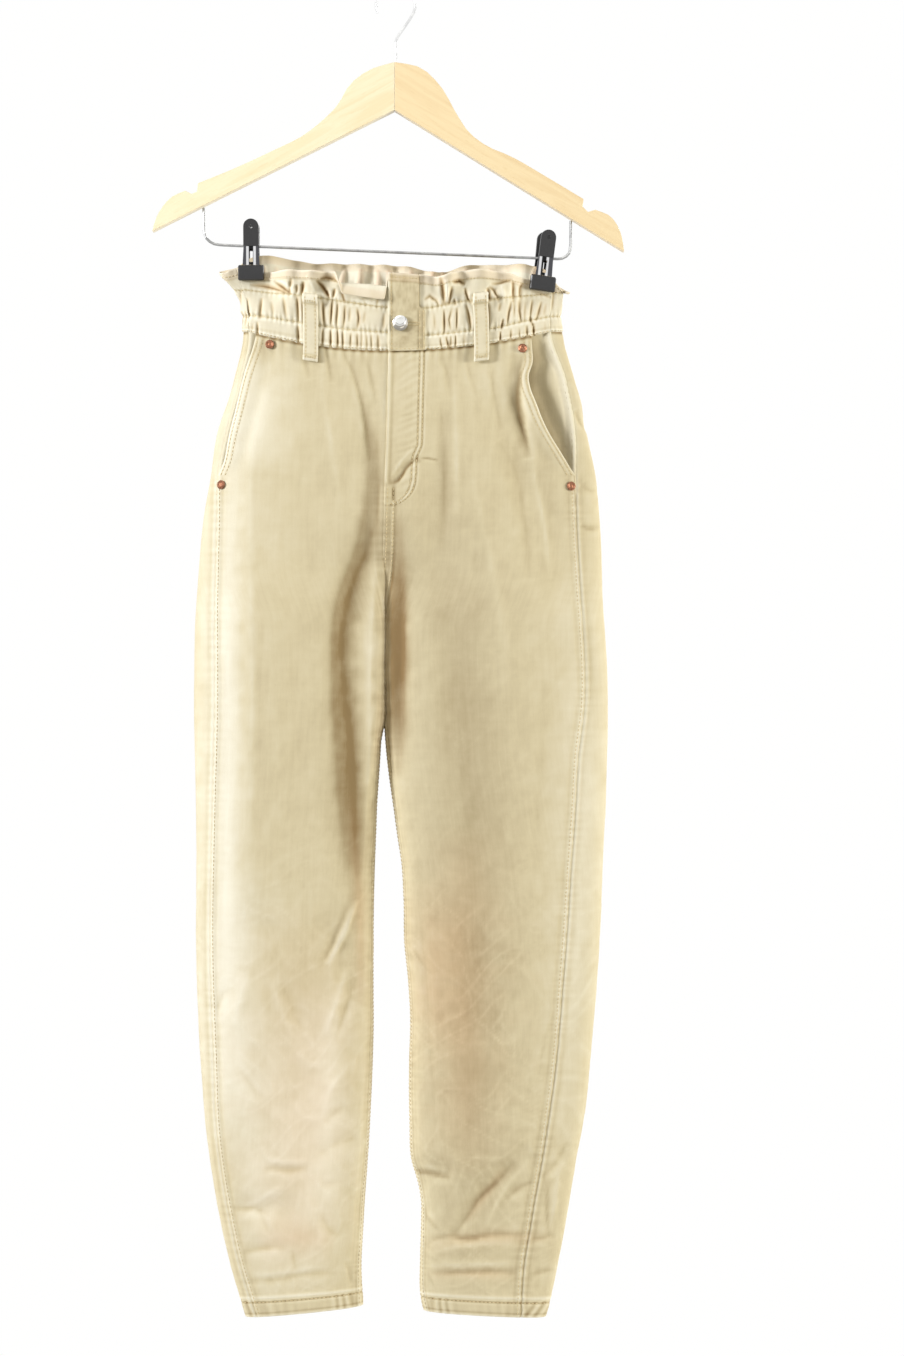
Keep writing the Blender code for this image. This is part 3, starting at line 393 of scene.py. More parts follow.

# Painted highlights (above 0) and painted shade (below 0) in the cloth's colour, with some fading, in the same
# columns: pale where the lamps graze the left thigh, the left hip and the right side, and painted shade in the
# valley of the left thigh, between the legs, in the fly's creases and in the right pocket's mouth
paintedLightAndFades = {
    "front": (
        (0.95, 24, 14, (-144, 350), (-150, 440), (-156, 540), (-156, 700), (-158, 850), (-160, 1000),
            (-156, 1100)),
        (0.6, 18, 30, (-128, 345), (-132, 400), (-138, 460)),
        (0.5, 26, 30, (-140, 820), (-146, 940), (-140, 1060), (-128, 1170), (-120, 1240)),
        (0.6, 46, 36, (-92, 940), (-80, 1000), (-78, 1120), (-86, 1240)),
        (0.35, 12, 14, (-52, 860), (-60, 960), (-62, 1060), (-64, 1160)),
        (-0.7, 4, 20, (-31, 392), (-24, 427), (-24, 455), (-28, 498), (-36, 531), (-46, 559), (-54, 583),
            (-57, 616), (-57, 663), (-55, 710), (-52, 757), (-47, 804), (-43, 840)),
        (-0.55, 12, 12, (-44, 650), (-40, 710), (-38, 767), (-37, 830), (-40, 890)),
        (-0.2, 5, 9, (-26, 392), (-18, 430), (-14, 458), (-16, 495), (-22, 524), (-36, 558), (-46, 600),
            (-48, 627), (-46, 659), (-39, 726), (-36, 780), (-34, 850)),
        (0.3, 9, 9, (-12, 470), (-19, 540), (-26, 600), (-28, 660), (-26, 720), (-28, 800)),
        (0.2, 7, 7, (-12, 352), (-9, 420), (-9, 480)),
        (-0.2, 14, 30, (-120, 520), (-124, 640), (-124, 760), (-122, 860)),
        (-0.35, 30, 44, (56, 460), (62, 600), (70, 760), (72, 900), (72, 1100), (76, 1240)),
        (-0.7, 18, 5.0, (5, 496), (7, 560), (8, 640), (6, 705), (4, 745)),
        (0.25, 6, 7, (-12, 540), (-14, 600), (-15, 660), (-15, 720)),
        (-0.7, 3, 9, (-4, 530), (-4, 600), (-4, 660), (-5, 725)),
        (-0.7, 2.2, 1.4, (21, 446), (11.5, 456), (1, 470), (-7, 471)),
        (-0.8, 1.8, 1.8, (21, 443), (21.5, 449), (23, 452)),
        (-0.45, 1.0, 1.0, (24, 447), (33, 447), (41, 449)),
        (-0.8, 1.3, 1.3, (-1.6, 470), (-1.8, 490)),
        (-0.2, 6, 8, (43, 400), (46, 470), (43, 530)),
        (-0.5, 5, 2, (118, 352), (115, 385), (119, 416), (126, 446)),
        (0.55, 22, 22, (164, 470), (172, 600), (174, 720), (170, 850), (160, 1000), (148, 1120)),
    ),
    "back": (),
}

# Pocket mouth edges: down, left x, right x
mouthTable = (
    (327, -131, 127.5),
    (338, -133, 128),
    (350, -136.5, 128.5),
    (363, -140.5, 124.5),
    (375, -143.5, 126),
    (391, -147, 131.5),
    (408, -151, 137.5),
    (424, -155, 145),
    (436, -157.5, 152),
    (449, -160.5, 160),
    (462, -166, 168),
)
mouthLow = mouthTable[-1][0]


def legSections(leg, down):
    # One row for each height: the outline from the front centre round the outer side to the back centre.
    # Above the crotch it is half of a flat oval, below it a whole one, and between them a blend of the two.
    side = 1 if leg == "right" else -1
    down = np.asarray(down, float)
    outer, inner, seam, depth = (tableColumn(legTables[leg], k, down)[:, None] for k in (1, 2, 3, 4))
    share = smoothStep(legForm["crotchTop"], legForm["crotchLow"], down)[:, None]
    turn = np.linspace(0, 1, legForm["steps"] + 1)[None]
    width = np.abs(outer - inner)
    waves = np.cos(pi * turn), np.sin(2 * pi * turn)
    bodyY, legY = (-depth * np.sign(wave) * np.abs(wave) ** legForm["blunt"] for wave in waves)
    x = inner + side * width * ((1 - share) * np.sin(pi * turn) + share * np.sin(pi * turn) ** 2)
    y = (1 - share) * bodyY + share * legY
    stepX, stepY = np.gradient(x, axis=1), np.gradient(y, axis=1)
    length = np.hypot(stepX, stepY)
    overX, overY = (np.diff(v, axis=1, prepend=v[:, :1]) for v in (x, y))
    arc = np.cumsum(np.hypot(overX, overY), axis=1)
    shape = {"down": down, "arc": arc, "x": x, "y": y, "whole": arc[:, -1:]}
    shape["nx"], shape["ny"] = side * stepY / length, -side * stepX / length
    front = slice(0, legForm["steps"] // 2 + 1)
    edge = tableColumn(mouthTable, 1 if leg == "left" else 2, np.minimum(down, mouthLow))[:, None]
    shape["seam"], mouth = (rowInterp(side * at, side * x[:, front], arc[:, front])[0] for at in (seam, edge))
    shape["mouth"] = np.where(down[:, None] < mouthLow, np.minimum(mouth, shape["seam"]), shape["seam"])
    return shape


def onSections(shape, arcs):
    # Position and outward direction at distances round each section.
    return rowInterp(arcs, shape["arc"], shape["x"], shape["y"], shape["nx"], shape["ny"])


def mouthShare(down):
    # How far down a pocket mouth a height is, from 0 at the waist seam to 1 at the mouth's low end.
    return np.clip((down - legForm["waistSeam"]) / (mouthLow - legForm["waistSeam"]), 0, 1)


def dipFade(down):
    # The share of the waist's dip that is left at a height.
    return 1 - smoothStep(legForm["waistSeam"], legForm["waistSeam"] + legForm["dipReach"], down)


def besidePath(path, x, down):
    # Distance of each point from a path, the side it lies on, and the share of the path before its nearest
    # point.
    path = np.array(path, float)
    begin, along = path[:-1], np.diff(path, axis=0)
    reach = (along**2).sum(axis=1)
    gap = np.stack([x, down], axis=-1)[..., None, :] - begin
    share = np.clip((gap * along).sum(axis=-1) / reach, 0, 1)
    away = np.linalg.norm(gap - share[..., None] * along, axis=-1)
    nearest = away.argmin(axis=-1)[..., None]
    run = lengthAlong(path)
    passed = run[nearest] + np.take_along_axis(share, nearest, -1) * np.sqrt(reach)[nearest]
    turn = along[..., 0] * gap[..., 1] - along[..., 1] * gap[..., 0]
    turn = np.take_along_axis(turn, nearest, -1)
    return away.min(axis=-1), np.sign(turn)[..., 0], passed[..., 0] / run[-1]


def largeRelief(x, y, down):
    # The large folds: bells across their paths, times the sine of the share passed to a power, so they fade
    # at their ends.
    front = smoothStep(-legForm["foldTurn"], legForm["foldTurn"], -y)
    relief = np.zeros_like(x)
    for weight, table in ((front, largeFolds["front"]), (1 - front, largeFolds["back"])):
        for height, width, *path in table:
            away, side, passed = besidePath(path, x, down)
            relief += weight * height * bell(away, width) * np.sin(pi * passed) ** legForm["foldEnds"]
    return relief


creaseLook = {
    "step": 6.0,
    "reach": 4.0,
    "sharp": 1.5,
    "ends": 0.7,
    "wander": 0.25,
    "wanderLength": 11.0,
    "seed": 40,
}


def creaseLines(table, x, fall):
    # The smaller creases: height times e to the power of minus away / width to the power sharp, times the
    # sine of the share passed to the power ends. The width differs on the two sides and wanders with a
    # noise.
    look = creaseLook
    relief = np.zeros_like(x)
    for k, (height, leftWidth, rightWidth, *path) in enumerate(table):
        xs, downs = np.array(path, float).T
        room = look["reach"] * max(leftWidth, rightWidth)
        near = (x > xs.min() - room) & (x < xs.max() + room)
        near &= (fall > downs.min() - room) & (fall < downs.max() + room)
        if not near.any():
            continue
        away, side, passed = besidePath(pathThrough(path, look["step"]), x[near], fall[near])
        u, v = fall[near] / look["wanderLength"] + k, x[near] / look["wanderLength"]
        wander = 1 + look["wander"] * softNoise(u, v, look["seed"] + k)
        width = np.where(side > 0, leftWidth, rightWidth) * wander
        ends = np.sin(pi * np.clip(passed, 0, 1)) ** look["ends"]
        relief[near] += height * ends * np.exp(-np.abs(away / width) ** look["sharp"])
    return relief


def bothFaces(tables, x, y, fall):
    # The creases of the front where the cloth faces forward and those of the back elsewhere, blended at the
    # sides.
    front = smoothStep(-6, 2, -y)
    behind = creaseLines(tables["back"], x, fall)
    return front * creaseLines(tables["front"], x, fall) + (1 - front) * behind


crumpleLook = {
    "apart": 400.0,
    "warp": 14.0,
    "warpLengths": (45.0, 40.0),
    "broadLengths": (34.0, 60.0),
    "broad": 0.8,
    "net": 0.3,
    "netAboveKnee": 0.30,
    "knee": (780.0, 900.0),
    "thin": 2.6,
    "sharp": 1.4,
    # slant, length across, length along, height
    "ridges": ((0.9, 15, 36, 0.75), (-0.8, 13, 30, 0.65), (2.2, 9, 20, 0.4), (0.1, 6, 26, 0.25)),
}


def crumple(x, y, fall, seed):
    # Unevenness of worn cloth: broad soft noise, and a net of thin slanting ridges, where a noise crosses
    # zero, strongest below the knee. A slower noise warps both.
    look = crumpleLook
    x = x + np.sign(-y) * look["apart"]
    first, second = look["warpLengths"]
    warpX = x + look["warp"] * softNoise(fall / first, x / first, seed)
    warpDown = fall + look["warp"] * softNoise(x / second, fall / second, seed + 1)
    broad = softNoise(warpX / look["broadLengths"][0], warpDown / look["broadLengths"][1], seed + 2)
    net = np.zeros_like(x)
    for k, (slant, across, along, height) in enumerate(look["ridges"]):
        u = warpX * np.cos(slant) + warpDown * np.sin(slant)
        v = warpDown * np.cos(slant) - warpX * np.sin(slant)
        ridge = 1 - np.abs(softNoise(u / across, v / along, seed + 3 + k)) * look["thin"]
        net += height * np.clip(ridge, 0, 1) ** look["sharp"]
    return look["broad"] * broad + look["net"] * rising(look["netAboveKnee"], *look["knee"], fall) * net


# Meshes

def surfaceNormals(points, flip):
    # Normals of a grid: the cross product of its two directions.
    normal = np.cross(np.gradient(points, axis=0), np.gradient(points, axis=1))
    normal /= np.maximum(np.linalg.norm(normal, axis=-1, keepdims=True), 1e-9)
    return -normal if flip else normal


def setAttribute(mesh, name, *parts):
    # A number for each point of a mesh, part after part.
    values = np.concatenate([part.ravel() for part in parts]).astype(np.float32)
    mesh.attributes.new(name, "FLOAT", "POINT").data.foreach_set("value", values)


def addObject(name, data, place=(0, 0, 0)):
    # An object in the scene, from its data and its place.
    obj = bpy.data.objects.new(name, data)
    obj.location = place
    bpy.context.scene.collection.objects.link(obj)
    return obj


def newObject(name, points, faces, material):
    # A smooth mesh in metres, in the scene.
    mesh = bpy.data.meshes.new(name)
    mesh.from_pydata((points * mm).tolist(), [], faces)
    mesh.validate()
    mesh.shade_smooth()
    mesh.materials.append(material)
    return addObject(name, mesh)


def gridFaces(number):
    # Four-sided faces between neighbouring rows and columns of numbered points.
    return np.stack([number[:-1, :-1], number[1:, :-1], number[1:, 1:], number[:-1, 1:]], -1).reshape(-1, 4)


def ringOf(number):
    # The numbers round the border of a grid.
    return np.concatenate([number[0, :-1], number[:-1, -1], number[-1, :0:-1], number[:0:-1, 0]])


def lowest(relief, reach):
    # The lowest relief within a few rows and columns, so that a coarser inside never cuts through the
    # outside.
    for axis in (0, 1):
        relief = np.minimum.reduce([np.roll(relief, k, axis) for k in range(-reach, reach + 1)])
    return relief


wallLook = {"mostHidden": 4.0, "rimRound": 0.35, "rimWear": 0.15, "insideTone": 0.4, "insideDark": 0.1}


def clothWall(name, outside, across, down, tone, thickness, flip, toneBehind=None, relief=None, rustAndShade=None):
    # A closed wall of cloth: the outer grid, the same grid moved in by the thickness, and a rounded rim.
    # Its UV map is the flat cloth in metres, its tone says where it is pale (above 0), from wear and painted
    # highlight, or dark (below 0), from stains and painted shade, and its second attribute how tan its stains and
    # its warm painted shade are. With a relief given, the hidden inside has half as many rows and columns.
    look = wallLook
    rustAndShade = np.zeros(tone.shape) if rustAndShade is None else rustAndShade
    normal = surfaceNormals(outside, flip)
    step, deep = 1, thickness
    if relief is not None:
        step, deep = 2, thickness + np.minimum(relief - lowest(relief, 2), look["mostHidden"])[..., None]
    inside = (outside - normal * deep)[::step, ::step]
    number = np.arange(tone.size).reshape(tone.shape)
    under = np.arange(inside.shape[0] * inside.shape[1]).reshape(inside.shape[:2]) + tone.size
    ring, ringUnder = ringOf(number), ringOf(under)
    middle = np.arange(len(ring)) + under.max() + 1
    flatOut, flatIn = outside.reshape(-1, 3), inside.reshape(-1, 3)
    ringOut, ringIn = flatOut[ring], flatOut[ring] - normal.reshape(-1, 3)[ring] * thickness
    outwards = np.cross(np.roll(ringOut, -1, 0) - np.roll(ringOut, 1, 0), ringOut - ringIn)
    outwards /= np.maximum(np.linalg.norm(outwards, axis=1, keepdims=True), 1e-9)
    sign = np.sign(((ringOut - flatOut.mean(axis=0)) * outwards).sum(axis=1).mean())
    rim = (ringOut + ringIn) / 2 + outwards * sign * thickness * look["rimRound"]
    after = np.roll(np.arange(len(ring)), -1)
    edge = np.stack([ring, ring[after], middle[after], middle], -1)
    if step == 1:
        edgeUnder = np.stack([middle, middle[after], ringUnder[after], ringUnder], -1)
    else:
        pair = middle[::2], middle[1::2], np.roll(middle[::2], -1)
        edgeUnder = np.stack([*pair, np.roll(ringUnder, -1), ringUnder], -1)
    faces = []
    for part in (gridFaces(number), gridFaces(under)[:, ::-1], edge, edgeUnder):
        faces += (part if flip else part[:, ::-1]).tolist()
    obj = newObject(name, np.concatenate([flatOut, flatIn, rim]), faces, cloth)
    flatUv = np.stack([across, -np.broadcast_to(down, across.shape)], -1) * mm
    uv = flatUv.reshape(-1, 2)
    uv = np.concatenate([uv, flatUv[::step, ::step].reshape(-1, 2), uv[ring]])
    corners = np.empty(len(obj.data.loops), np.int32)
    obj.data.loops.foreach_get("vertex_index", corners)
    layer = obj.data.uv_layers.new(name="flatCloth")
    layer.data.foreach_set("uv", uv[corners].astype(np.float32).ravel())
    plain = tone[::step, ::step] * look["insideTone"] - look["insideDark"]
    behind = plain if toneBehind is None else toneBehind
    setAttribute(obj.data, "tone", tone, behind, tone.ravel()[ring] + look["rimWear"])
    setAttribute(obj.data, "rustAndShade", rustAndShade, rustAndShade[::step, ::step], rustAndShade.ravel()[ring])
    return obj


def dress(obj, *solids):
    # A piece of cloth rides on the one body, in place of its solids.
    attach(obj, "root")
    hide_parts(*solids)


def curvature(relief):
    # How much a relief bulges over the mean of its neighbours: above 0 on ridges, below 0 in troughs.
    smooth = relief.copy()
    for axis in (0, 1):
        for _ in range(3):
            smooth = (np.roll(smooth, 1, axis) + smooth + np.roll(smooth, -1, axis)) / 3
    return relief - smooth


def ridgeWearAndTroughShade(relief, share, least, most):
    # Paler ridges, partly wear and partly painted highlight, and painted shade in the troughs: a share of 1.4
    # times the curvature, kept between two values.
    return share * np.clip(curvature(relief) * 1.4, least, most)


# Materials

def feed(tree, node, inputs):
    # Sets the inputs of a node, each from a value or from the output that is wired into it.
    for key, value in inputs.items():
        if isinstance(value, bpy.types.NodeSocket):
            tree.links.new(value, node.inputs[key])
        else:
            node.inputs[key].default_value = value
    return node


def addNode(tree, kind, inputs, **settings):
    # A shader node with its settings and inputs.
    node = tree.nodes.new("ShaderNode" + kind)
    for key, value in settings.items():
        setattr(node, key, value)
    return feed(tree, node, inputs)


def newMaterial(name, roughness, metallic=0.0, colour=(0.8, 0.8, 0.8)):
    # A material with one plain Principled shader.
    material = bpy.data.materials.new(name)
    material.use_nodes = True
    tree = material.node_tree
    shader = tree.nodes["Principled BSDF"]
    feed(tree, shader, {"Base Color": (*colour, 1), "Roughness": roughness, "Metallic": metallic})
    return material, tree, shader


def objectPlace(tree):
    # The object's own coordinates.
    return addNode(tree, "TexCoord", {}).outputs["Object"]


def mapped(tree, vector, scale=(1, 1, 1), turn=(0, 0, 0), move=(0, 0, 0), kind="POINT"):
    # A vector that is scaled, turned and moved.
    inputs = {"Vector": vector, "Location": move, "Rotation": turn, "Scale": scale}
    return addNode(tree, "Mapping", inputs, vector_type=kind).outputs["Vector"]


def noiseOf(tree, vector, scale, detail, roughness=0.5, distortion=0.0):
    # A cloudy pattern from 0 to 1.
    inputs = {"Vector": vector, "Scale": scale, "Detail": detail, "Roughness": roughness}
    return addNode(tree, "TexNoise", {**inputs, "Distortion": distortion}).outputs["Fac"]


def ranged(tree, value, low, high, fromLow=0.0, fromHigh=1.0):
    # A value moved from one range into another.
    inputs = {"Value": value, "From Min": fromLow, "From Max": fromHigh, "To Min": low, "To Max": high}
    return addNode(tree, "MapRange", inputs).outputs["Result"]


def sumOf(tree, pattern, share, rest):
    # A share of a pattern, plus the rest.
    return addNode(tree, "Math", {0: pattern, 1: share, 2: rest}, operation="MULTIPLY_ADD").outputs[0]


def tinted(tree, colour, tint, share):
    # A colour times a tint, by a share from 0 to 1.
    settings = {"data_type": "RGBA", "blend_type": "MULTIPLY", "clamp_factor": True}
    return addNode(tree, "Mix", {"Factor": share, "A": colour, "B": tint}, **settings).outputs["Result"]


def raised(tree, marks, strength, depth, under=None):
    # The way a surface faces when marks stand up on it, over another such relief if one is given.
    inputs = {"Height": marks, "Strength": strength, "Distance": depth}
    if under:
        inputs["Normal"] = under
    return addNode(tree, "Bump", inputs).outputs["Normal"]


def ramp(tree, share, stops):
    # Colours through the given stops, by a share from 0 to 1.
    node = addNode(tree, "ValToRGB", {"Fac": share})
    elements = node.color_ramp.elements
    elements[0].position, elements[0].color = stops[0][0], (*stops[0][1], 1)
    elements[1].position, elements[1].color = stops[-1][0], (*stops[-1][1], 1)
    for position, colour in stops[1:-1]:
        elements.new(position).color = (*colour, 1)
    return node.outputs["Color"]


clothLook = {
    # the colours at the ends of the tone: pale for wear and painted highlight, dark brown for stains and painted
    # shade
    "wearAndHighlight": (0.86, 0.83, 0.69),
    "plain": (0.63, 0.56, 0.37),
    "stainAndShade": (0.27, 0.19, 0.085),
    "rustAndShadeTint": (0.93, 0.73, 0.63),
    "toneRange": (-0.75, 1.25),
    "twillPerMetre": 1250.0,
    "twillTurn": 63.0,
    "roughness": 0.86,
    "roughRange": (0.78, 0.95),
    "sheen": 0.06,
    "patchShare": 0.22,
    "slubShare": 0.20,
    "ribShare": 0.10,
    # soft streaks of uneven yarn down the cloth, and shorter ones across it: scale, share
    "streaks": (((260.0, 16.0, 1.0), 0.26), ((38.0, 170.0, 1.0), 0.16)),
    "blots": (0.6, 1.2),
}


def clothMaterial():
    # Faded cotton twill: its colour goes by the tone, which carries wear, stains and painted light and shade,
    # plus shares of patches, slubs, ribs and streaks, times a rusty tint for tan stains and warm painted shade.
    look = clothLook
    material, tree, shader = newMaterial("sandTwill", look["roughness"])
    flat = addNode(tree, "UVMap", {}, uv_map="flatCloth").outputs["UV"]
    tone, rustAndShade = (addNode(tree, "Attribute", {}, attribute_name=name).outputs["Fac"] for name in ("tone", "rustAndShade"))
    ribs = addNode(tree, "TexWave", {
        "Vector": mapped(tree, flat, turn=(0, 0, radians(look["twillTurn"]))),
        "Scale": look["twillPerMetre"] * 2 * pi / 20, "Distortion": 1.2, "Detail": 2.0, "Detail Scale": 3.0,
    }).outputs["Fac"]
    slubs = noiseOf(tree, mapped(tree, flat, scale=(3.0, 0.6, 1.0)), 260.0, 4.0, 0.7)
    patches = noiseOf(tree, flat, 14.0, 5.0, 0.6)
    picked = sumOf(tree, patches, look["patchShare"], tone)
    picked = sumOf(tree, slubs, look["slubShare"], picked)
    picked = sumOf(tree, ribs, look["ribShare"], picked)
    for scale, share in look["streaks"]:
        streak = noiseOf(tree, mapped(tree, flat, scale=scale), 1.0, 3.0, 0.6)
        centred = addNode(tree, "Math", {0: streak, 1: 0.5}, operation="SUBTRACT").outputs[0]
        picked = sumOf(tree, centred, share, picked)
    stops = ((0.0, look["stainAndShade"]), (0.5, look["plain"]), (1.0, look["wearAndHighlight"]))
    colours = ramp(tree, ranged(tree, picked, 0.0, 1.0, *look["toneRange"]), stops)
    blots = ranged(tree, patches, *look["blots"])
    uneven = addNode(tree, "Math", {0: rustAndShade, 1: blots}, operation="MULTIPLY").outputs[0]
    feed(tree, shader, {
        "Base Color": tinted(tree, colours, (*look["rustAndShadeTint"], 1), uneven),
        "Roughness": ranged(tree, slubs, *look["roughRange"]),
        "Normal": raised(tree, slubs, 0.35, 0.0004, raised(tree, ribs, 0.35, 0.0002)),
        "Sheen Weight": look["sheen"],
        "Sheen Roughness": 0.6,
        "Specular IOR Level": 0.25,
    })
    return material


def threadMaterial():
    # Tone on tone sewing thread: a twist of fine bands along each stitch.
    material, tree, shader = newMaterial("sandThread", 0.6)
    twist = noiseOf(tree, objectPlace(tree), 900.0, 2.0)
    colours = ramp(tree, twist, ((0.3, (0.50, 0.40, 0.21)), (0.7, (0.70, 0.60, 0.37))))
    feed(tree, shader, {"Base Color": colours, "Normal": raised(tree, twist, 0.4, 0.0002)})
    return material


print("tables and tools ready")
cloth = clothMaterial()
thread = threadMaterial()


# Legs

panelLook = {
    "thickness": 1.1,
    # first row, last row and step, from the waist seam and from the hem
    "waistRows": (-1.2, 10.5, 1.1),
    "hemRows": (-24.0, -0.3, 0.9),
    "upperStep": 1.5,
    "upperTo": 500.0,
    "rowStep": 2.4,
    "columnStep": 2.1,
    "fineStep": 0.75,
    "seamReach": 12.0,
    "flyReach": 44.0,
    "width": {"front": 170, "back": 190},
    "tuck": 2.2,
    "crumpleSeed": {"left": 5, "right": 6},
    # how much of the creases is left below these falls
    "lowFalls": (1070, 1110),
    "lowLoss": 0.35,
    "slimInner": 1.8,
    "touch": {"left": 5.0, "right": 0.5},
    "touchDowns": (530, 580, 680, 715),
    "bulge": {"left": 8.0, "right": 4.0},
    "bulgeDowns": (540, 600, 700, 770),
    # painted shade in troughs and creases with paler ridges, and painted shade in the large folds with paler
    # crests
    "ridgeWearAndTroughShade": (0.55, -0.7, 0.7),
    "foldLightAndShade": 0.04,
    "cloudWear": 0.06,
}

flyLook = {
    "to": 470.0,
    "low": 491.0,
    "width": 33.0,
    "pair": 4.0,
    "turn": 37.0,
    "blunt": 3.4,
    # how much narrower it gets, and between which heights
    "narrow": (4.5, 428, 446),
    "layer": 0.55,
    "ripple": 0.16,
    "rippleLength": 8.6,
    "lineDeep": 0.5,
    # height, middle and half width of each rib and groove, from the edge inwards
    "lipLift": ((0.7, 0, 2.4),),
    "lipTone": ((0.45, 1.0, 1.4), (-0.3, 4.2, 1.6)),
}

# Ribs and grooves beside the sewn edges: height, middle and half width, from the edge inwards. The tone
# bells make the ribs pale, partly wear and partly painted highlight, paint shade in the seam lines and
# grooves, a painted shadow under the waist seam, and painted highlights and shade on the hem's fold.
edgeLook = {
    "ribReach": 3.2,
    "groove": (-0.3, 6.0, 1.6),
    "pucker": 0.34,
    "puckerLength": 8.5,
    "puckerSway": 1.8 * pi,
    "puckerFade": 6.5,
    "sideRidge": {"front": 0.3, "back": -0.2},
    "sideSeed": {"left": 11, "right": 12},
    "sideTone": ((0.4, 1.6, 1.2), (-0.35, 0, 0.8), (-0.15, 7, 4)),
    "inseamTone": ((0.35, 8.5, 1.8), (-0.35, 10.6, 1.2)),
    "centre": {
        "front": {"felled": 9.0, "seed": 32, "ridge": 0.2, "tone": ((0.35, 8, 1.6), (-0.3, 10, 1.2))},
        "back": {"felled": 9.5, "seed": 31, "ridge": 0.1, "tone": ((0.3, 8, 2),)},
    },
    "ropeLength": 9.4,
    "ropeSlant": 0.282,
    "ropeSway": 1.1 * pi,
    "hemLift": ((0.5, -3.4, 2.0), (-0.7, 1.6, 1.1)),
    "hemTone": ((0.5, -2.6, 1.8), (-0.65, 1.2, 0.9), (0.35, 15, 1.5), (-0.4, 11.8, 0.9)),
    "waistLift": ((-0.5, 0, 2.4),),
    "waistTone": ((-0.8, 0.4, 1.5),),
}

mouthLook = {
    "roll": {"left": 3.4, "right": 4.6},
    "lift": ((-0.9, 19, 6.0), (-0.4, 2.6, 0.9), (-0.4, 7.2, 0.9)),
    "tone": ((0.6, 0, 1.4), (-0.28, 2.6, 1.0), (-0.28, 7.2, 1.0), (0.2, 5, 1.5)),
}


def seamRelief(distance, along, seed, ridge):
    # A sewn edge: a rib along it, a shallow groove behind the rib, and puckers, an uneven wave along the edge
    # times e to the power of minus the distance over their fade.
    look = edgeLook
    noise = softNoise(along / 19, np.zeros_like(along), seed)
    amount = 0.6 + 0.4 * softNoise(along / 33, np.ones_like(along), seed + 1)
    wave = unevenWave(along, look["puckerLength"], look["puckerSway"], noise)
    pucker = look["pucker"] * amount * wave * np.exp(-distance / look["puckerFade"])
    return bells(distance, ((ridge, 0, look["ribReach"]), look["groove"])) + pucker


def felledEdge(toEdge, width):
    # 1 on the doubled cloth of a felled seam, 0 past its width.
    return smoothStep(0, 1.5, width - toEdge)


def flyLine(down):
    # The curved double stitch of the fly, as a distance from the centre seam at each height: its width
    # times the square root of 1 - turn to a power, where turn goes from 0 to 1 through the curve.
    look = flyLook
    less, start, end = look["narrow"]
    width = look["width"] - less * smoothStep(start, end, down)
    turn = np.clip((down - (look["low"] - look["turn"])) / look["turn"], 0, 1)
    return np.where(down < look["low"], width * np.sqrt(1 - turn ** look["blunt"]), 0)


def panelRows():
    # Heights of the rows, an odd number: fine at the waist seam and through the hem, closer above the crotch.
    top, hem, look = legForm["waistSeam"], legForm["hem"], panelLook
    (first, last, step), (hemFirst, hemLast, hemStep) = look["waistRows"], look["hemRows"]
    rows = np.concatenate([
        np.arange(top + first, top + last, step),
        np.arange(top + last + 0.5, look["upperTo"], look["upperStep"]),
        np.arange(look["upperTo"], hem + hemFirst - 0.5, look["rowStep"]),
        np.arange(hem + hemFirst, hem + hemLast, hemStep),
        [hem],
    ])
    return rows if len(rows) % 2 else np.insert(rows, 1, (rows[0] + rows[1]) / 2)


def edgeShapes(leg, face, shape, arcs):
    # Lift and tone of a panel's sewn edges: sums of bells across each one, with ripples along it.
    look, down = edgeLook, np.broadcast_to(shape["down"][:, None], arcs.shape)
    toOuter, toInner = shape["mouth"] - arcs, arcs
    if face == "back":
        toOuter, toInner = arcs - shape["seam"], shape["whole"] - arcs
    # side seam: the front edge stands up, the back one slips under it
    below = smoothStep(mouthLow - 4, mouthLow + 6, down)
    lift = below * seamRelief(toOuter, down, look["sideSeed"][leg], look["sideRidge"][face])
    tone = below * bells(toOuter, look["sideTone"])
    # inseam: a flat felled seam with two rows of stitches on the front
    low = smoothStep(legForm["crotchLow"] - 60, legForm["crotchLow"], down)
    if face == "front":
        lift += low * 0.55 * felledEdge(toInner, 9.5)
        lift += low * 0.6 * seamRelief(np.abs(toInner - 9.0), down, 21, 0.0)
        tone += low * bells(toInner, look["inseamTone"])
    else:
        lift += low * 0.6 * seamRelief(toInner, down, 22, 0.2)
    # centre seam above the crotch: the right panel lies over the left one, on the front below the fly
    centre, high, over = look["centre"][face], 1 - low, leg == "right"
    if face == "front":
        high = high * smoothStep(flyLook["to"] - 4, flyLook["to"] + 8, down)
    lift += high * seamRelief(toInner, down, centre["seed"], centre["ridge"])
    lift += high * over * 0.6 * felledEdge(toInner, centre["felled"])
    tone += high * over * bells(toInner, centre["tone"])
    # the turned hem, roped by its stitching, with painted highlights and shade along its edges
    intoHem = down - (legForm["hem"] - legForm["hemWidth"])
    noise = softNoise(toInner / 17, down / 40, 61)
    rope = unevenWave(toInner + look["ropeSlant"] * intoHem, look["ropeLength"], look["ropeSway"], noise)
    rope = rope * (0.45 + 0.55 * softNoise(toInner / 24, 0 * down + 3, 62))
    inHem = smoothStep(-1.0, 1.0, intoHem)
    lift += inHem * (0.7 + 0.26 * rope) + bells(intoHem, look["hemLift"])
    tone += inHem * (-0.05 + 0.24 * rope) + bells(intoHem, look["hemTone"])
    # under the waist seam, with a painted shadow line
    intoWaist = down - legForm["waistSeam"]
    ripple = unevenWave(toInner, 9.0, 3.0, softNoise(toInner / 17, down / 300, 71))
    lift += bells(intoWaist, look["waistLift"]) + 0.45 * ripple * np.exp(-np.maximum(intoWaist, 0) / 9)
    tone += bells(intoWaist, look["waistTone"])
    return lift, tone


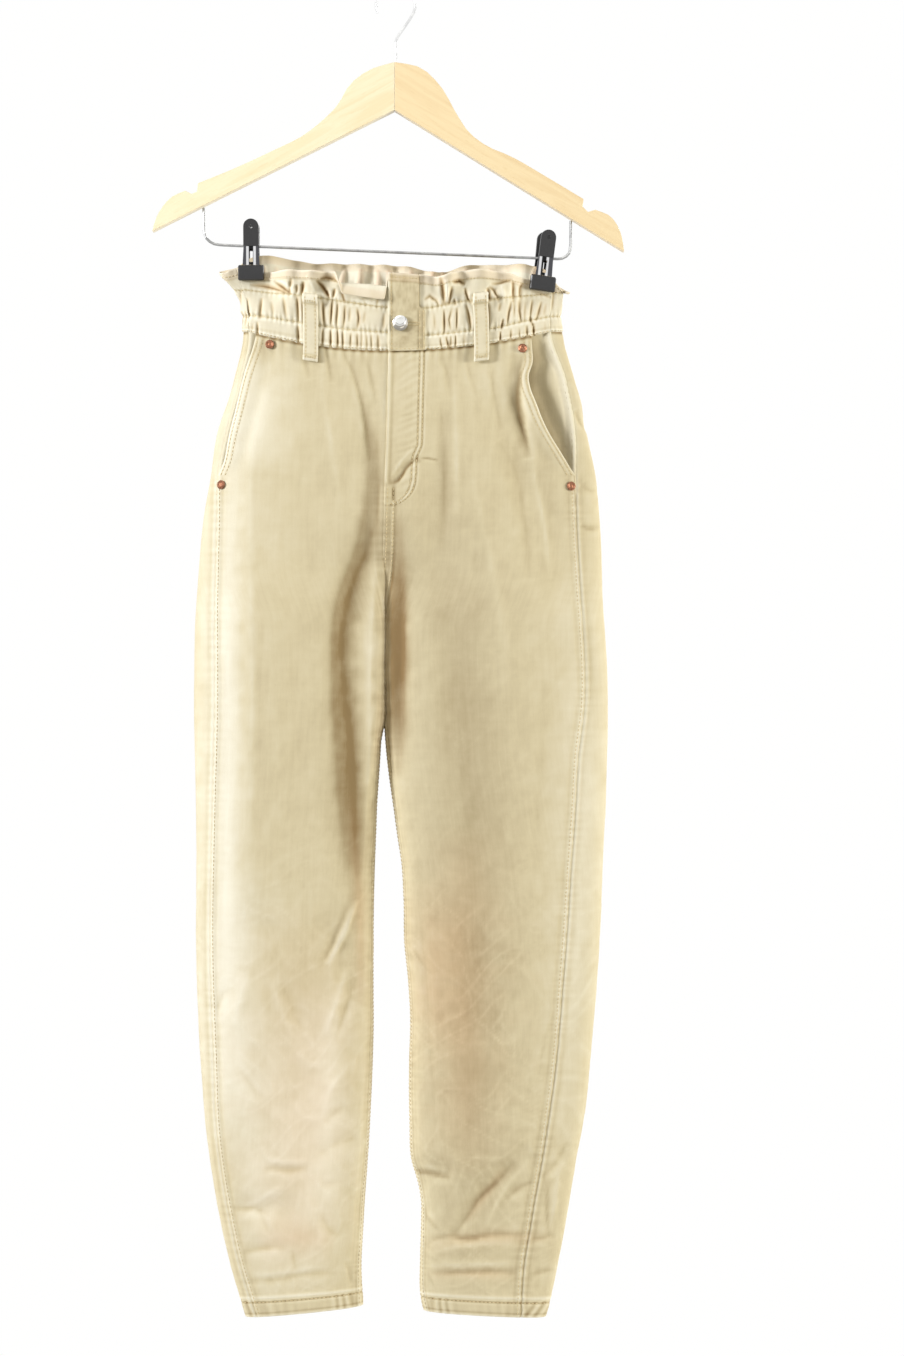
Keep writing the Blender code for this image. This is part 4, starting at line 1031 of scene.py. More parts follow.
def flyShapes(shape, arcs, lift, tone):
    # The fly on the right front: an extra layer inside the curved double stitch, and its lipped edge.
    look, down = flyLook, np.broadcast_to(shape["down"][:, None], arcs.shape)
    line = flyLine(down)
    within = smoothStep(-0.8, 0.8, line - arcs) * (line > 0)
    on = smoothStep(0, 3, line)
    ripple = unevenWave(down + 0.5 * arcs, look["rippleLength"], 3.0, softNoise(down / 17, arcs / 22, 81))
    lift += within * (look["layer"] + look["ripple"] * ripple * bell(arcs - line * 0.7, line / 3 + 1))
    # each stitch groove gets painted shade as deep as the groove, with a pale line beside it
    for offset in (0.0, look["pair"]):
        groove = on * look["lineDeep"] * bell(arcs - line + offset, 0.9)
        lift -= groove
        tone -= groove
    tone += on * 0.25 * bell(np.abs(arcs - line) - 2.0, 1.0) + within * 0.06
    # the lipped edge: pale, partly painted highlight, with painted shade just inside it
    above = 1 - smoothStep(look["to"] - 3, look["to"] + 3, down)
    lift += above * bells(arcs, look["lipLift"])
    tone += above * bells(arcs, look["lipTone"])


def mouthShapes(leg, shape, arcs, lift, tone):
    # The pocket mouth: its edge rolls out, with a trough behind the roll.
    look, edge = mouthLook, shape["mouth"] - arcs
    inMouth = mouthShare(np.broadcast_to(shape["down"][:, None], arcs.shape))
    gape = np.sin(pi * inMouth) ** 0.8 * (inMouth < 1)
    lift += gape * look["roll"][leg] * bell(edge - 3.5, 8.0) * smoothStep(-6, 3, edge)
    lift += gape * bells(edge, look["lift"])
    # a pale rolled edge, partly painted highlight, and painted shade in the stitch grooves behind it
    tone += (inMouth < 1) * smoothStep(0, 0.04, inMouth) * bells(edge, look["tone"])


def legSurface(leg, face, down, shares):
    # The outer surface of a panel on a grid of heights and shares of its width: the section of the leg,
    # moved out by the large folds, the creases, the crumples and the sewn edges.
    look, shape = panelLook, legSections(leg, down)
    start, end = np.zeros_like(shape["mouth"]), shape["mouth"]
    if face == "back":
        start, end = shape["seam"] - look["tuck"], shape["whole"]
    arcs = start + (end - start) * shares[None, :]
    x, y, nx, ny = onSections(shape, arcs)
    downs = np.broadcast_to(shape["down"][:, None], arcs.shape)
    near = np.minimum(arcs, shape["whole"] - arcs)
    isFront = arcs <= shape["seam"]
    behind = (shape["whole"] - arcs) / (shape["whole"] - shape["seam"])
    share = np.where(isFront, arcs / shape["seam"], behind)
    dip = np.where(isFront, legForm["frontDip"], legForm["backDip"]) * (1 - share**2) * dipFade(downs)
    outer, inner = (tableColumn(legTables[leg], k, shape["down"])[:, None] for k in (1, 2))
    hem = legForm["hem"]
    tilt = smoothStep(hem - legForm["hemTiltReach"], hem, downs) * (x - outer) / (inner - outer)
    fall = downs + dip - legForm["hemTilt"][leg] * tilt
    # every unevenness calms down toward the edges and the hem
    large = largeRelief(x, y, downs) * smoothStep(0, legForm["foldFade"], near)
    edgeCalm = rising(0.25, 0, 9, near)
    small = bothFaces(creases, x, y, fall) * edgeCalm * rising(0.35, 0, 16, hem - 14 - downs)
    small = small * (1 - look["lowLoss"] * smoothStep(*look["lowFalls"], fall))
    seamCalm = rising(0.1, 0, 14, np.abs(arcs - shape["seam"]))
    rough = crumple(x, y, fall, look["crumpleSeed"][leg]) * edgeCalm * seamCalm
    rough = rough * smoothStep(0, 8, hem - 16 - downs)
    lift, tone = edgeShapes(leg, face, shape, arcs)
    if face == "front":
        mouthShapes(leg, shape, arcs, lift, tone)
        if leg == "right":
            flyShapes(shape, arcs, lift, tone)
    else:
        lift -= 1.0 * smoothStep(2.6, -0.4, arcs - shape["seam"])
    slim = look["slimInner"] * smoothStep(710, 780, downs) * bell(near, 14)
    slim = slim - look["touch"][leg] * plateau(look["touchDowns"], downs) * bell(near, 17)
    relief = large + small + rough + lift - slim
    # tone: paler ridges and painted shade in the creases, painted shade in the large folds, the painted
    # highlights and shade of the table above, and uneven clouds
    tone += ridgeWearAndTroughShade(small + rough + lift, *look["ridgeWearAndTroughShade"])
    tone += look["foldLightAndShade"] * np.clip(large, -8, 4) + bothFaces(paintedLightAndFades, x, y, fall)
    clouds = softNoise(x / 19 + fall / 60, fall / 31, 141) + softNoise(x / 7, fall / 10 + x / 15, 142)
    tone += look["cloudWear"] * clouds
    points = np.stack([x + nx * relief, y + ny * relief, -fall], axis=-1)
    if face == "front":
        # where the legs touch, the left one bulges in front of the right one
        points[..., 1] -= look["bulge"][leg] * plateau(look["bulgeDowns"], downs) * bell(near - 14, 12)
    # rusty tan stains, and warm painted shade between the legs and in the creases
    rustAndShade = np.clip(bothFaces(rustAndWarmShades, x, y, fall), 0, 1)
    return {
        "down": shape["down"], "shares": shares, "start": start[:, 0], "end": end[:, 0], "arcs": arcs,
        "downs": downs, "points": points, "relief": relief, "tone": tone, "rustAndShade": rustAndShade,
    }


panels = {}


def legPanel(leg, face):
    # One panel as a closed wall, with finer columns along the fly.
    look, flip, name = panelLook, leg == "left", face + "_" + leg
    close = look["flyReach"] if (face, leg) == ("front", "right") else 0.0
    shares = graded(look["width"][face], look["fineStep"], look["columnStep"], look["seamReach"], close)
    surface = legSurface(leg, face, panelRows(), shares)
    surface["normals"] = surfaceNormals(surface["points"], flip)
    panels[face, leg] = surface
    obj = clothWall(
        name + "_cloth", surface["points"], surface["arcs"], surface["downs"], surface["tone"],
        look["thickness"], flip, relief=surface["relief"], rustAndShade=surface["rustAndShade"],
    )
    dress(obj, name + "_upper", name + "_middle", name + "_lower")


for leg in ("left", "right"):
    for face in ("front", "back"):
        legPanel(leg, face)
        print("panel", face, leg)


# Waistband

bandLook = {
    "thickness": 1.2,
    "columnStep": 0.95,
    # rows of the mesh in the ruffle, the upper channel and the lower channel
    "rows": (30, 28, 20),
    "ruffleTop": 277.0,
    "ruffleWave": 27.0,
    "ruffleDepth": 4.0,
    "ruffleCreases": 1.35,
    "calmEnd": 14.0,
    "seamGap": 0.15,
    "underlap": 16.0,
    "puff": 1.15,
    "puffShape": 0.7,
    # the stitch rows and the waist seam: millimetres in a step of v, how far they draw the cloth in, and
    # the bells of their tone: painted shade along the drawn-in rows with pale bands beside them, and a pale lip,
    # partly painted highlight, at the waist seam with painted shade above it
    "seams": (
        (22, 1.0, ((-0.25, 0, 1.3), (0.12, -4, 2.2))),
        (17, 1.0, ((-0.2, 0, 1.2), (0.2, 2.6, 1.3))),
        (14, 0.7, ((0.55, -1.6, 1.1), (-0.3, -4.2, 1.2))),
    ),
    "waistLip": ((0.5, -1.6, 1.4),),
    # paler ridges and painted shade in the troughs of the gathers, and more painted shade in their creases
    "ridgeWearAndTroughShade": (0.6, -1.0, 0.8),
    "creaseShade": 0.42,
    "paler": 0.55,
    "hemStrip": 7.6,
    "hemSoft": 0.6,
    # the ruffle's turned hem: a groove with painted shade along its stitch line, and a pale top edge
    "stripLift": ((-0.5, 7.6, 0.9),),
    "stripTone": ((-0.35, 7.6, 1.0), (0.3, 0, 1.0)),
    # the stretch of x in which the ruffle flops over: from, fully, still fully, to
    "flop": (-54, -46, -10, -4),
    "flopRadius": 2.0,
    "flopAt": 0.5,
}

# The flat tab: bells across it from its left edge, down it from its top, and the two stitch lines at its
# right
tabLook = {
    "from": -0.6,
    "to": 33.5,
    "topTo": 28.0,
    "lift": 2.3,
    "acrossLift": ((0.7, 1.0, 1.4), (-0.35, 3.4, 0.8)),
    "acrossTone": ((0.7, 0.8, 1.3), (-0.22, 3.4, 0.9)),
    "ruffleHeight": 26,
    "topLift": ((0.5, 0.52, 1.3), (-0.3, 3.12, 0.8)),
    "topTone": ((0.35, 0.52, 1.2),),
    "linesInside": (5.2, 1.4),
    "lineLift": (-0.4, 0.9),
    "lineTone": (-0.3, 1.0),
}

# The two stitch rows of the waistband: x, then how far down each is at the side seams
stitchRows = {
    "front": (
        (-152, 287, 312),
        (-124, 283, 308),
        (-88, 281, 307),
        (-50, 282, 308),
        (-7, 286, 309.5),
        (31, 287.5, 313),
        (62, 284, 312.6),
        (93, 285.5, 313),
        (120, 286, 311.5),
        (148, 289, 312),
        (165, 289, 312),
    ),
    "back": ((-165, 287, 312), (-80, 286, 311), (0, 285, 310.5), (80, 286, 311), (165, 289, 312)),
}

# The ruffle's top edge: x, how much lower than its plain height it hangs, how far it leans out
ruffleEdges = {
    "front": (
        (-164, 4, 1),
        (-150, -8, 0),
        (-136, -12, 0),
        (-120, -8, 2),
        (-96, -7, 6),
        (-65, -4, 9),
        (-52, -4, 10),
        (-45, -5, 8),
        (-22, -6, 6),
        (-6, -4, 2),
        (25, -2, 1),
        (42, 0, 5),
        (56, -4, 6),
        (104, -4, 5),
        (126, 0, 2),
        (138, 0, 0),
        (150, 4, 0),
        (162, 15, -3),
    ),
    "back": (
        (-164, 4, 1),
        (-150, -8, 0),
        (-136, -13, 0),
        (-124, -21, 1),
        (-98, -23, 2),
        (-75, -20, 3),
        (-31, -19, 3),
        (18, -16, 3),
        (42, -11, 4),
        (72, -18, 3),
        (98, -17, 3),
        (124, -14, 1),
        (138, -9, 0),
        (150, 4, 0),
        (162, 15, -3),
    ),
}

# Creases of the front waistband, in the same columns as the creases above
bandCreases = (
    (-1.6, 1.6, 1.8, (-150.1, 292.7), (-147.8, 312.7)),
    (-2.2, 1.4, 1.8, (-139.8, 293.4), (-138.3, 315.2)),
    (-2.2, 1.6, 1.5, (-125.6, 293.3), (-127.5, 315.8)),
    (-1, 2, 2, (-116.6, 297.4), (-114.3, 312.6)),
    (-1.6, 1.5, 2.2, (-105.3, 294), (-102.5, 314.8)),
    (-2.6, 1.2, 1.6, (-92.1, 292.4), (-90.7, 318.8)),
    (-2, 1.3, 1.6, (-87.4, 294.4), (-85.5, 318.9)),
    (-2.4, 1.3, 1.8, (-68.1, 298.3), (-66.7, 322.9)),
    (-2.6, 1.4, 1.5, (-59.1, 297.4), (-60.5, 322.9)),
    (-2.2, 1.4, 1.4, (-53.5, 298.4), (-55.4, 323.9)),
    (-2, 1.4, 1.8, (-46.9, 301.3), (-48.3, 324.8)),
    (-1.2, 1.5, 1.5, (-42.2, 304.1), (-43.1, 319.2)),
    (-2.2, 1.4, 1.8, (-36, 304.1), (-34.1, 315.4), (-35.6, 325.8)),
    (-1, 2, 2.4, (-28, 307.9), (-29.9, 321.1)),
    (-1.2, 2.4, 2, (-10.1, 309.8), (-11, 326.7)),
    (-1.8, 1.2, 1.5, (-138.7, 315.2), (-138.8, 331.2)),
    (-0.8, 1.5, 1.5, (-133.6, 317.4), (-134.6, 330.5)),
    (-2.2, 1.3, 1.3, (-129.2, 316.7), (-129.4, 334.6)),
    (-2.4, 1.2, 1.4, (-91.2, 320.7), (-90.7, 339.6)),
    (-2, 1.2, 1.4, (-67.8, 322.9), (-68.1, 343.6)),
    (-2.4, 1.2, 1.3, (-60.4, 324.8), (-60.1, 345.5)),
    (-2.4, 1.2, 1.4, (-54, 324.8), (-53.5, 346.5)),
    (-2, 1.2, 1.3, (-49.1, 325.8), (-48.8, 346.5)),
    (-1.6, 1.3, 1.5, (-41.2, 326.7), (-42.2, 345.6)),
    (-1.8, 1.3, 1.4, (-35.6, 327.7), (-35.1, 346.5)),
    (-1.2, 1.2, 1.4, (-31.3, 327.7), (-31.8, 345.6)),
    (-1.2, 1.3, 1.3, (-27.1, 327.7), (-26.1, 346.5)),
    (-1.4, 1.3, 1.4, (-22.3, 328.6), (-22.3, 346.6)),
    (-1.6, 1.3, 1.6, (-16.2, 328.6), (-15.7, 347.5)),
    (-1, 1.8, 1.8, (36.1, 309.8), (37.5, 328.6)),
    (-2.4, 1.3, 1.7, (45.5, 306), (46, 330.5)),
    (-1.6, 1.4, 1.6, (53.6, 305), (50.3, 317.3), (53.1, 328.6)),
    (-2.2, 1.4, 1.4, (57.8, 304.1), (57.4, 328.6)),
    (-2.6, 1.4, 1.6, (66.3, 302.1), (69.1, 313.4), (71, 326.6)),
    (-2.4, 1.4, 1.6, (87, 298.1), (86.6, 326.4)),
    (-1.4, 1.6, 1.8, (98.4, 299.8), (96.9, 309.3)),
    (-2.2, 1.4, 1.6, (101.2, 314.8), (98.8, 326.2)),
    (-2.2, 1.5, 1.6, (108.7, 297.7), (105.9, 312.8), (105, 320.4)),
    (-1.2, 1.4, 1.4, (111.1, 296.6), (111.6, 314.5)),
    (-2.2, 1.4, 1.6, (116.7, 294.6), (116.3, 308.7), (119.1, 319.9)),
    (-1, 1.5, 1.5, (121.9, 297.2), (121, 318)),
    (-2, 1.4, 1.6, (128.5, 295), (126.6, 314)),
    (-2, 1.4, 1.4, (125.7, 312.1), (129.5, 321.4)),
    (-2.2, 1.4, 1.6, (137.5, 296.4), (132.3, 317.5)),
    (-1, 1.8, 1.8, (141.7, 298), (138.9, 313.3)),
    (-1.6, 1.3, 1.4, (41.8, 332.4), (43.7, 345.6)),
    (-2.2, 1.3, 1.4, (47.4, 331.4), (50.3, 345.6)),
    (-1.6, 1.2, 1.4, (51.9, 330.5), (52.1, 345.6)),
    (-1.8, 1.3, 1.3, (56.5, 329.5), (56.4, 344.6)),
    (-0.8, 1.5, 1.8, (64.4, 328.5), (64.4, 343.6)),
    (-2.6, 1.2, 1.3, (98.4, 326.2), (98.1, 341.3)),
    (-1.6, 1.3, 1.4, (108.3, 324.1), (108.3, 339.2)),
    (-1, 1.4, 1.6, (116.3, 322.9), (116.3, 338)),
    (-2, 1.3, 1.4, (122.9, 320.7), (124.3, 335.8)),
    (-2.6, 1.2, 1.4, (129.3, 318.6), (130.4, 334.5)),
    (-0.6, 1.8, 1.8, (139.8, 317), (140.8, 330.2)),
    (-0.6, 1.8, 1.8, (151.2, 315.3), (152.1, 327.5)),
    (-2.4, 1.6, 2.4, (-114.8, 277.7), (-105.3, 285.5), (-96.8, 292.8)),
    (-2, 1.5, 1.8, (-97.8, 277.2), (-99.2, 290.4)),
    (-1.6, 1.3, 1.5, (-92.1, 283), (-92.6, 292.4)),
    (-2.6, 1.5, 1.8, (-85.8, 280.2), (-87.9, 293.4)),
    (-2.6, 1.5, 2, (-73.6, 280.4), (-67.6, 286.1), (-62.9, 294.6)),
    (-1.8, 1.6, 2, (-70.4, 279.5), (-62, 277.6), (-52.5, 282.4)),
    (-1.8, 1.4, 1.5, (-64.8, 288.9), (-61, 297.4)),
    (-2, 1.5, 1.5, (-56.3, 287.1), (-58.2, 296.5)),
    (-2, 1.5, 1.8, (-50.6, 289), (-46.9, 302.2)),
    (2.6, 3.0, 2.6, (-42, 298), (-28, 300), (-16, 303), (-8, 300)),
    (-1.8, 1.4, 1.6, (-31, 296), (-27, 304)),
    (-1.6, 1.4, 1.6, (-16, 297), (-18, 306)),
    (-2.2, 2, 2.6, (-137.4, 281.3), (-122.3, 283), (-107.2, 288.3), (-98.7, 293.2)),
    (1.6, 2.4, 2.4, (-122.3, 275.5), (-109.1, 278.8), (-97.8, 286.6), (-92.1, 292.4)),
    (1.4, 2.2, 2.4, (-82.7, 275.6), (-78, 283.2), (-74.2, 291.7)),
    (-2.4, 1.6, 2, (41.8, 276.8), (44.6, 289), (46, 304.1)),
    (-2.2, 1.6, 1.8, (53.1, 282.4), (58.7, 280.5), (65.8, 283.3)),
    (-2.2, 1.5, 1.6, (53.1, 285.2), (51.2, 295.6), (50.3, 304.1)),
    (-2.2, 1.5, 1.6, (65.3, 286.1), (67.2, 294.6), (71, 302.1)),
    (-1.6, 1.3, 1.4, (55, 296.5), (56.9, 304.1)),
    (-2.6, 1.6, 1.8, (86.1, 285.9), (88, 294.3), (88.9, 300)),
    (-1.8, 1.5, 1.7, (87, 284.9), (94.6, 291.4), (96.5, 300.8)),
    (-2.6, 1.6, 1.9, (109.7, 278.8), (110.6, 290.1), (110.1, 299.5)),
    (-1.4, 1.6, 1.8, (88.9, 283), (98.4, 281.9), (109.7, 277.8)),
    (-1.8, 1.5, 1.8, (119.1, 279.4), (116.3, 288), (118.2, 296.4)),
    (-1.4, 1.6, 1.6, (26.7, 298.5), (32.3, 294.7), (38, 298.4), (41.8, 304.1)),
    (-1.2, 1.6, 1.6, (70.1, 294.5), (79.5, 293.5), (85.2, 295.3)),
    (-1.2, 1.8, 2.2, (126.6, 287.6), (140.8, 290.6), (151.2, 295.5)),
    (-2, 1.6, 1.8, (151.2, 278.5), (155.9, 285.7), (160.6, 291.4)),
    (1.4, 2.2, 2.2, (47.4, 279.6), (48.4, 289), (48.4, 300.3)),
    (1.6, 2.4, 2.4, (98.4, 282.8), (101.2, 290.3), (104, 297.8)),
)

clips = ({"x": -136.0, "down": 263.0, "turn": 0.0}, {"x": 138.3, "down": 273.0, "turn": 12.0})
clampLook = {"half": 2.2, "flat": 14.5, "reach": 42.0, "low": 19.2, "below": 26.0}
waistDowns = np.arange(268.0, 346.0, 1.0)
waistSections = {leg: legSections(leg, waistDowns) for leg in ("left", "right")}
gridNames = ("x", "y", "nx", "ny", "share", "along")


def waistLength(leg, face):
    # Length of the waist from the centre seam to the side seam, at each height.
    shape = waistSections[leg]
    return (shape["seam"] if face == "front" else shape["whole"] - shape["seam"])[:, 0]


def waistGrid(face, start, end, shares):
    # Sections of the waist at the heights of waistDowns, from start to end along it, positive to the right.
    along = start[:, None] + (end - start)[:, None] * shares[None, :]
    found = []
    for leg in ("left", "right"):
        shape = waistSections[leg]
        arcs = np.abs(along) if face == "front" else shape["whole"] - np.abs(along)
        found.append([*onSections(shape, arcs), np.abs(along) / waistLength(leg, face)[:, None], along])
    return {name: np.where(along >= 0, right, left) for name, left, right in zip(gridNames, *found)}


def pick(grid, down):
    # The values of the waist grid at a height of its own for each column, between the two nearest rows.
    at = np.clip(down - waistDowns[0], 0, len(waistDowns) - 1.001)
    k = at.astype(int)
    column = np.broadcast_to(np.arange(down.shape[1]), down.shape)
    return [grid[name][k, column] * (1 - at + k) + grid[name][k + 1, column] * (at - k) for name in gridNames]


def dipOf(face, share):
    # The waist's dip at a share of the way from the centre to the side seam: its depth times 1 - share
    # squared.
    return (legForm["frontDip"] if face == "front" else legForm["backDip"]) * (1 - np.clip(share, 0, 1) ** 2)


def pressByClips(points):
    # Between a clip's jaws the cloth lies flat in the plane of the jaws, and it opens again below them.
    x, y, z = points[..., 0], points[..., 1], points[..., 2]
    look = clampLook
    side, held, shift = np.sign(y), np.abs(y), np.zeros_like(y)
    for clip in clips:
        off, low = x - clip["x"], clip["down"] + look["low"]
        press = 1 - smoothStep(look["flat"], look["reach"], np.abs(off))
        press = press * (1 - smoothStep(low, low + look["below"], -z))
        held = np.minimum(held, (1 - press) * held + press * look["half"])
        shift += press * np.clip(off, -look["reach"], look["reach"]) * tan(radians(clip["turn"]))
    return np.stack([x, side * held + shift, z], axis=-1)


# Gathers of the back in each strip: first and last x, lean, shallowest and deepest height, half widths,
# spacing, then for each point of a gather its share of the lean and its fall
backGathers = (
    (-146, 152, 3, (-2.6, -1.2), (1.4, 1.7), (6, 13), ((0, 284), (1, 306))),
    (-146, 152, 2, (-2.4, -1.0), (1.3, 1.4), (5, 12), ((0, 306), (1, 321))),
    (-140, 148, 7, (-3.0, -1.4), (2.0, 2.4), (10, 20), ((1, 262), (1 / 3, 273), (0, 284))),
)


def backCreases():
    # The gathers of the back, unevenly spaced, slanting and fanning out into the ruffle.
    chance, rows = np.random.default_rng(8), []
    for x, last, leanMost, heights, widths, spacing, path in backGathers:
        while x < last:
            lean = chance.uniform(-leanMost, leanMost)
            points = [(x + share * lean, fall) for share, fall in path]
            rows.append((chance.uniform(*heights), *widths, *points))
            x += chance.uniform(*spacing)
    return rows


def stitchPinch(along, away, seed):
    # Along a stitch row the cloth is drawn in, with fine gathers that fade within a few millimetres.
    wave = unevenWave(along, 5.2, 2.6, softNoise(along / 9, np.full_like(along, seed), 90 + seed))
    return -1.0 * bell(away, 1.5) + 0.42 * wave * bell(away, 3.6)


def flopOver(rise, height):
    # Where the ruffle flops over, the cloth rises, turns forward over a small radius and hangs down.
    radius, top = bandLook["flopRadius"], bandLook["flopAt"] * height
    turn = np.clip((rise - top) / radius, 0, pi)
    past = np.maximum(rise - top - radius * pi, 0)
    return np.minimum(rise, top) + radius * np.sin(turn) - past, radius * (1 - np.cos(turn)) + 0.10 * past


def bandSurface(face, start, end, lift, plain):
    # One piece of the waistband: ruffle, upper channel and lower channel. v is 0 at the top edge, 1 and 2
    # at the stitch rows and 3 at the waist seam.
    look = bandLook
    count = int((end - start).mean() / look["columnStep"]) + 1
    grid = waistGrid(face, start, end, np.linspace(0, 1, count))
    stretches = [np.linspace(k, k + 1, rows + 1)[:-1] for k, rows in enumerate(look["rows"])]
    v = np.concatenate([*stretches, [3.0]])[:, None]
    middle = grid["x"][20]
    upper, lower = (tableColumn(stitchRows[face], k, middle)[None, :] for k in (1, 2))
    drop, lean = (tableColumn(ruffleEdges[face], k, middle)[None, :] for k in (1, 2))
    top, low = look["ruffleTop"], legForm["waistSeam"] - 0.2
    down = np.where(v <= 2, upper + (lower - upper) * (v - 1), lower + (low - lower) * (v - 2))
    down = np.where(v <= 1, top + (upper - top) * v, down)
    x, y, nx, ny, share, along = pick(grid, down)
    ruffle, dip, inRuffle = np.clip(1 - v, 0, 1), dipOf(face, share), v < 1
    base = upper + dip
    height = base - (top + drop)
    rise = ruffle * height
    swing = unevenWave(along, look["ruffleWave"], 1.3, np.sin(along / 31))
    left, right = (np.interp(280.0, waistDowns, waistLength(leg, face)) for leg in ("left", "right"))
    room = np.minimum(along + left, right - along)
    if face == "front":
        room = np.minimum(room, np.maximum(-along - 3, along - tabLook["to"]))
    calm = 0.0 if plain else smoothStep(0, look["calmEnd"], room)
    out = lift + calm * ruffle * (lean * ruffle + look["ruffleDepth"] * swing)
    tone, lines = np.zeros_like(out), np.zeros_like(out)
    fall = np.where(v <= 1, base - rise, down + dip)
    if plain:
        out += 0.35 * softNoise(along / 12, v * 2, 98)
    else:
        # puffed channels, cut by creases, between the drawn in stitch rows
        channel = np.sin(pi * np.clip(np.where(v > 2, v - 2, v - 1), 0, 1)) ** look["puffShape"]
        out += look["puff"] * channel * (0.75 + 0.25 * softNoise(along / 7, v * 2, 95))
        lines = creaseLines(bandCreases if face == "front" else backCreases(), x, fall)
        lines = lines * np.where(inRuffle, look["ruffleCreases"], 1.0)
        fine = softNoise(along / 5.5, v * 3, 96) * 0.35 + softNoise(along / 13, v * 2 + 5, 97) * 0.6
        pinch = np.zeros_like(out)
        for k, (span, drawn, tones) in enumerate(look["seams"], start=1):
            pinch += drawn * stitchPinch(along, (v - k) * span, k)
            tone += bells((v - k) * span, tones)
        out += lines + fine * (0.4 + 0.6 * channel) + pinch + bells((v - 3) * 14, look["waistLip"])
        # paler ridges and painted shade in the gathers' troughs and creases
        tone += ridgeWearAndTroughShade(lines + pinch, *look["ridgeWearAndTroughShade"]) + look["paler"]
        tone += look["creaseShade"] * np.minimum(lines + 0.3, 0)
    # the turned hem of the ruffle, with painted shade along its stitch line
    hemStart, hemEnd = look["hemStrip"] + look["hemSoft"], look["hemStrip"] - look["hemSoft"]
    strip = smoothStep(hemStart, hemEnd, height - rise) * inRuffle
    out += 0.45 * strip + bells(height - rise, look["stripLift"]) * inRuffle
    tone += 0.06 * strip + bells(height - rise, look["stripTone"]) * inRuffle
    if face == "front" and not plain:
        flop = plateau(look["flop"], middle)[None, :]
        up, forward = flopOver(rise, np.maximum(height, 20))
        fall = np.where(v <= 1, base - ((1 - flop) * rise + flop * up), fall)
        out = np.where(v <= 1, out * (1 - 0.75 * flop) + flop * forward, out)
    # the gathers keep part of their depth where the clips press the cloth flat
    kept = np.clip(0.8 * lines, -1.3, 1.0)
    points = pressByClips(np.stack([x + nx * (out - kept), y + ny * (out - kept), -fall], axis=-1))
    points += np.stack([nx * kept, ny * kept, 0 * kept], axis=-1)
    # warm painted shade in the gathers' creases, and a tan hem strip
    rustAndShade = np.clip(-0.22 * lines, 0, 0.6) + 0.3 * strip
    return {"points": points, "along": along, "v": v, "down": -points[..., 2], "tone": tone, "rustAndShade": rustAndShade}


def tabShapes(surface):
    # The flat tab, narrower at its top: thick folded edges with a row of stitches inside them, and a double
    # row at its right end.
    look, along, v = tabLook, surface["along"], surface["v"]
    length = look["to"] - look["from"]
    narrow = (look["topTo"] - look["from"]) / length
    squeeze = 1 - (1 - narrow) * smoothStep(1.12, 0.95, v)
    x0 = surface["points"][:, :1, 0]
    surface["points"][..., 0] = x0 + (surface["points"][..., 0] - x0) * squeeze
    across, fromTop = (along - look["from"]) * squeeze, v * look["ruffleHeight"]
    rise = bells(across, look["acrossLift"]) + bells(fromTop, look["topLift"])
    # pale folded edges and top, painted shade in the stitch grooves, a pale lower edge and an uneven mottle
    tone = bells(across, look["acrossTone"]) + bells(fromTop, look["topTone"])
    below = smoothStep(0.95, 1.1, v)
    for line in (look["to"] - inside for inside in look["linesInside"]):
        rise += below * look["lineLift"][0] * bell(across - line, look["lineLift"][1])
        tone += below * look["lineTone"][0] * bell(across - line, look["lineTone"][1])
    tone += 0.3 * bell((v - 3) * 14 + 1.2, 1.0)
    tone += 0.22 * softNoise(across / 5, v * 5, 131) - 0.12 + 0.12 * softNoise(across / 1.6, v * 9, 132)
    surface["points"][..., 1] -= rise
    surface["tone"] += tone


bands = {}


def bandPiece(name, face, start, end, lift, plain):
    # One piece of the waistband as a closed wall. Its inside is painted pale, a painted light where the front
    # shades it, with less of it in a strip toward the top edge.
    surface, flip = bandSurface(face, start, end, lift, plain), face == "back"
    if plain:
        tabShapes(surface)
    surface["normals"] = surfaceNormals(surface["points"], flip)
    strip = 1 - smoothStep(0, 0.32, np.broadcast_to(surface["v"], surface["tone"].shape))
    behind = 0.85 - 0.75 * strip * (0.6 + 0.4 * softNoise(surface["along"] / 16, surface["v"] * 2, 99))
    obj = clothWall(
        name + "_cloth", surface["points"], surface["along"] + 600, surface["down"], surface["tone"],
        bandLook["thickness"], flip, behind, rustAndShade=surface["rustAndShade"],
    )
    dress(obj, name)
    bands[name] = surface
    print("waistband piece", name)


def buildWaistband():
    # The gathered pieces from seam to seam, and the tab over the right end of the left one.
    gap, even, tab = bandLook["seamGap"], np.ones_like(waistDowns), tabLook
    left, right = (waistLength(leg, "front") - gap for leg in ("left", "right"))
    backLeft, backRight = (waistLength(leg, "back") - gap for leg in ("left", "right"))
    bandPiece("waistband_front_left", "front", -left, bandLook["underlap"] * even, 0.0, False)
    bandPiece("waistband_front_right", "front", (tab["to"] - 5.0) * even, right, 0.0, False)
    bandPiece("waistband_back", "back", -backLeft, backRight, 0.0, False)
    bandPiece("waist_tab", "front", tab["from"] * even, tab["to"] * even, tab["lift"], True)


buildWaistband()


# Belt loops

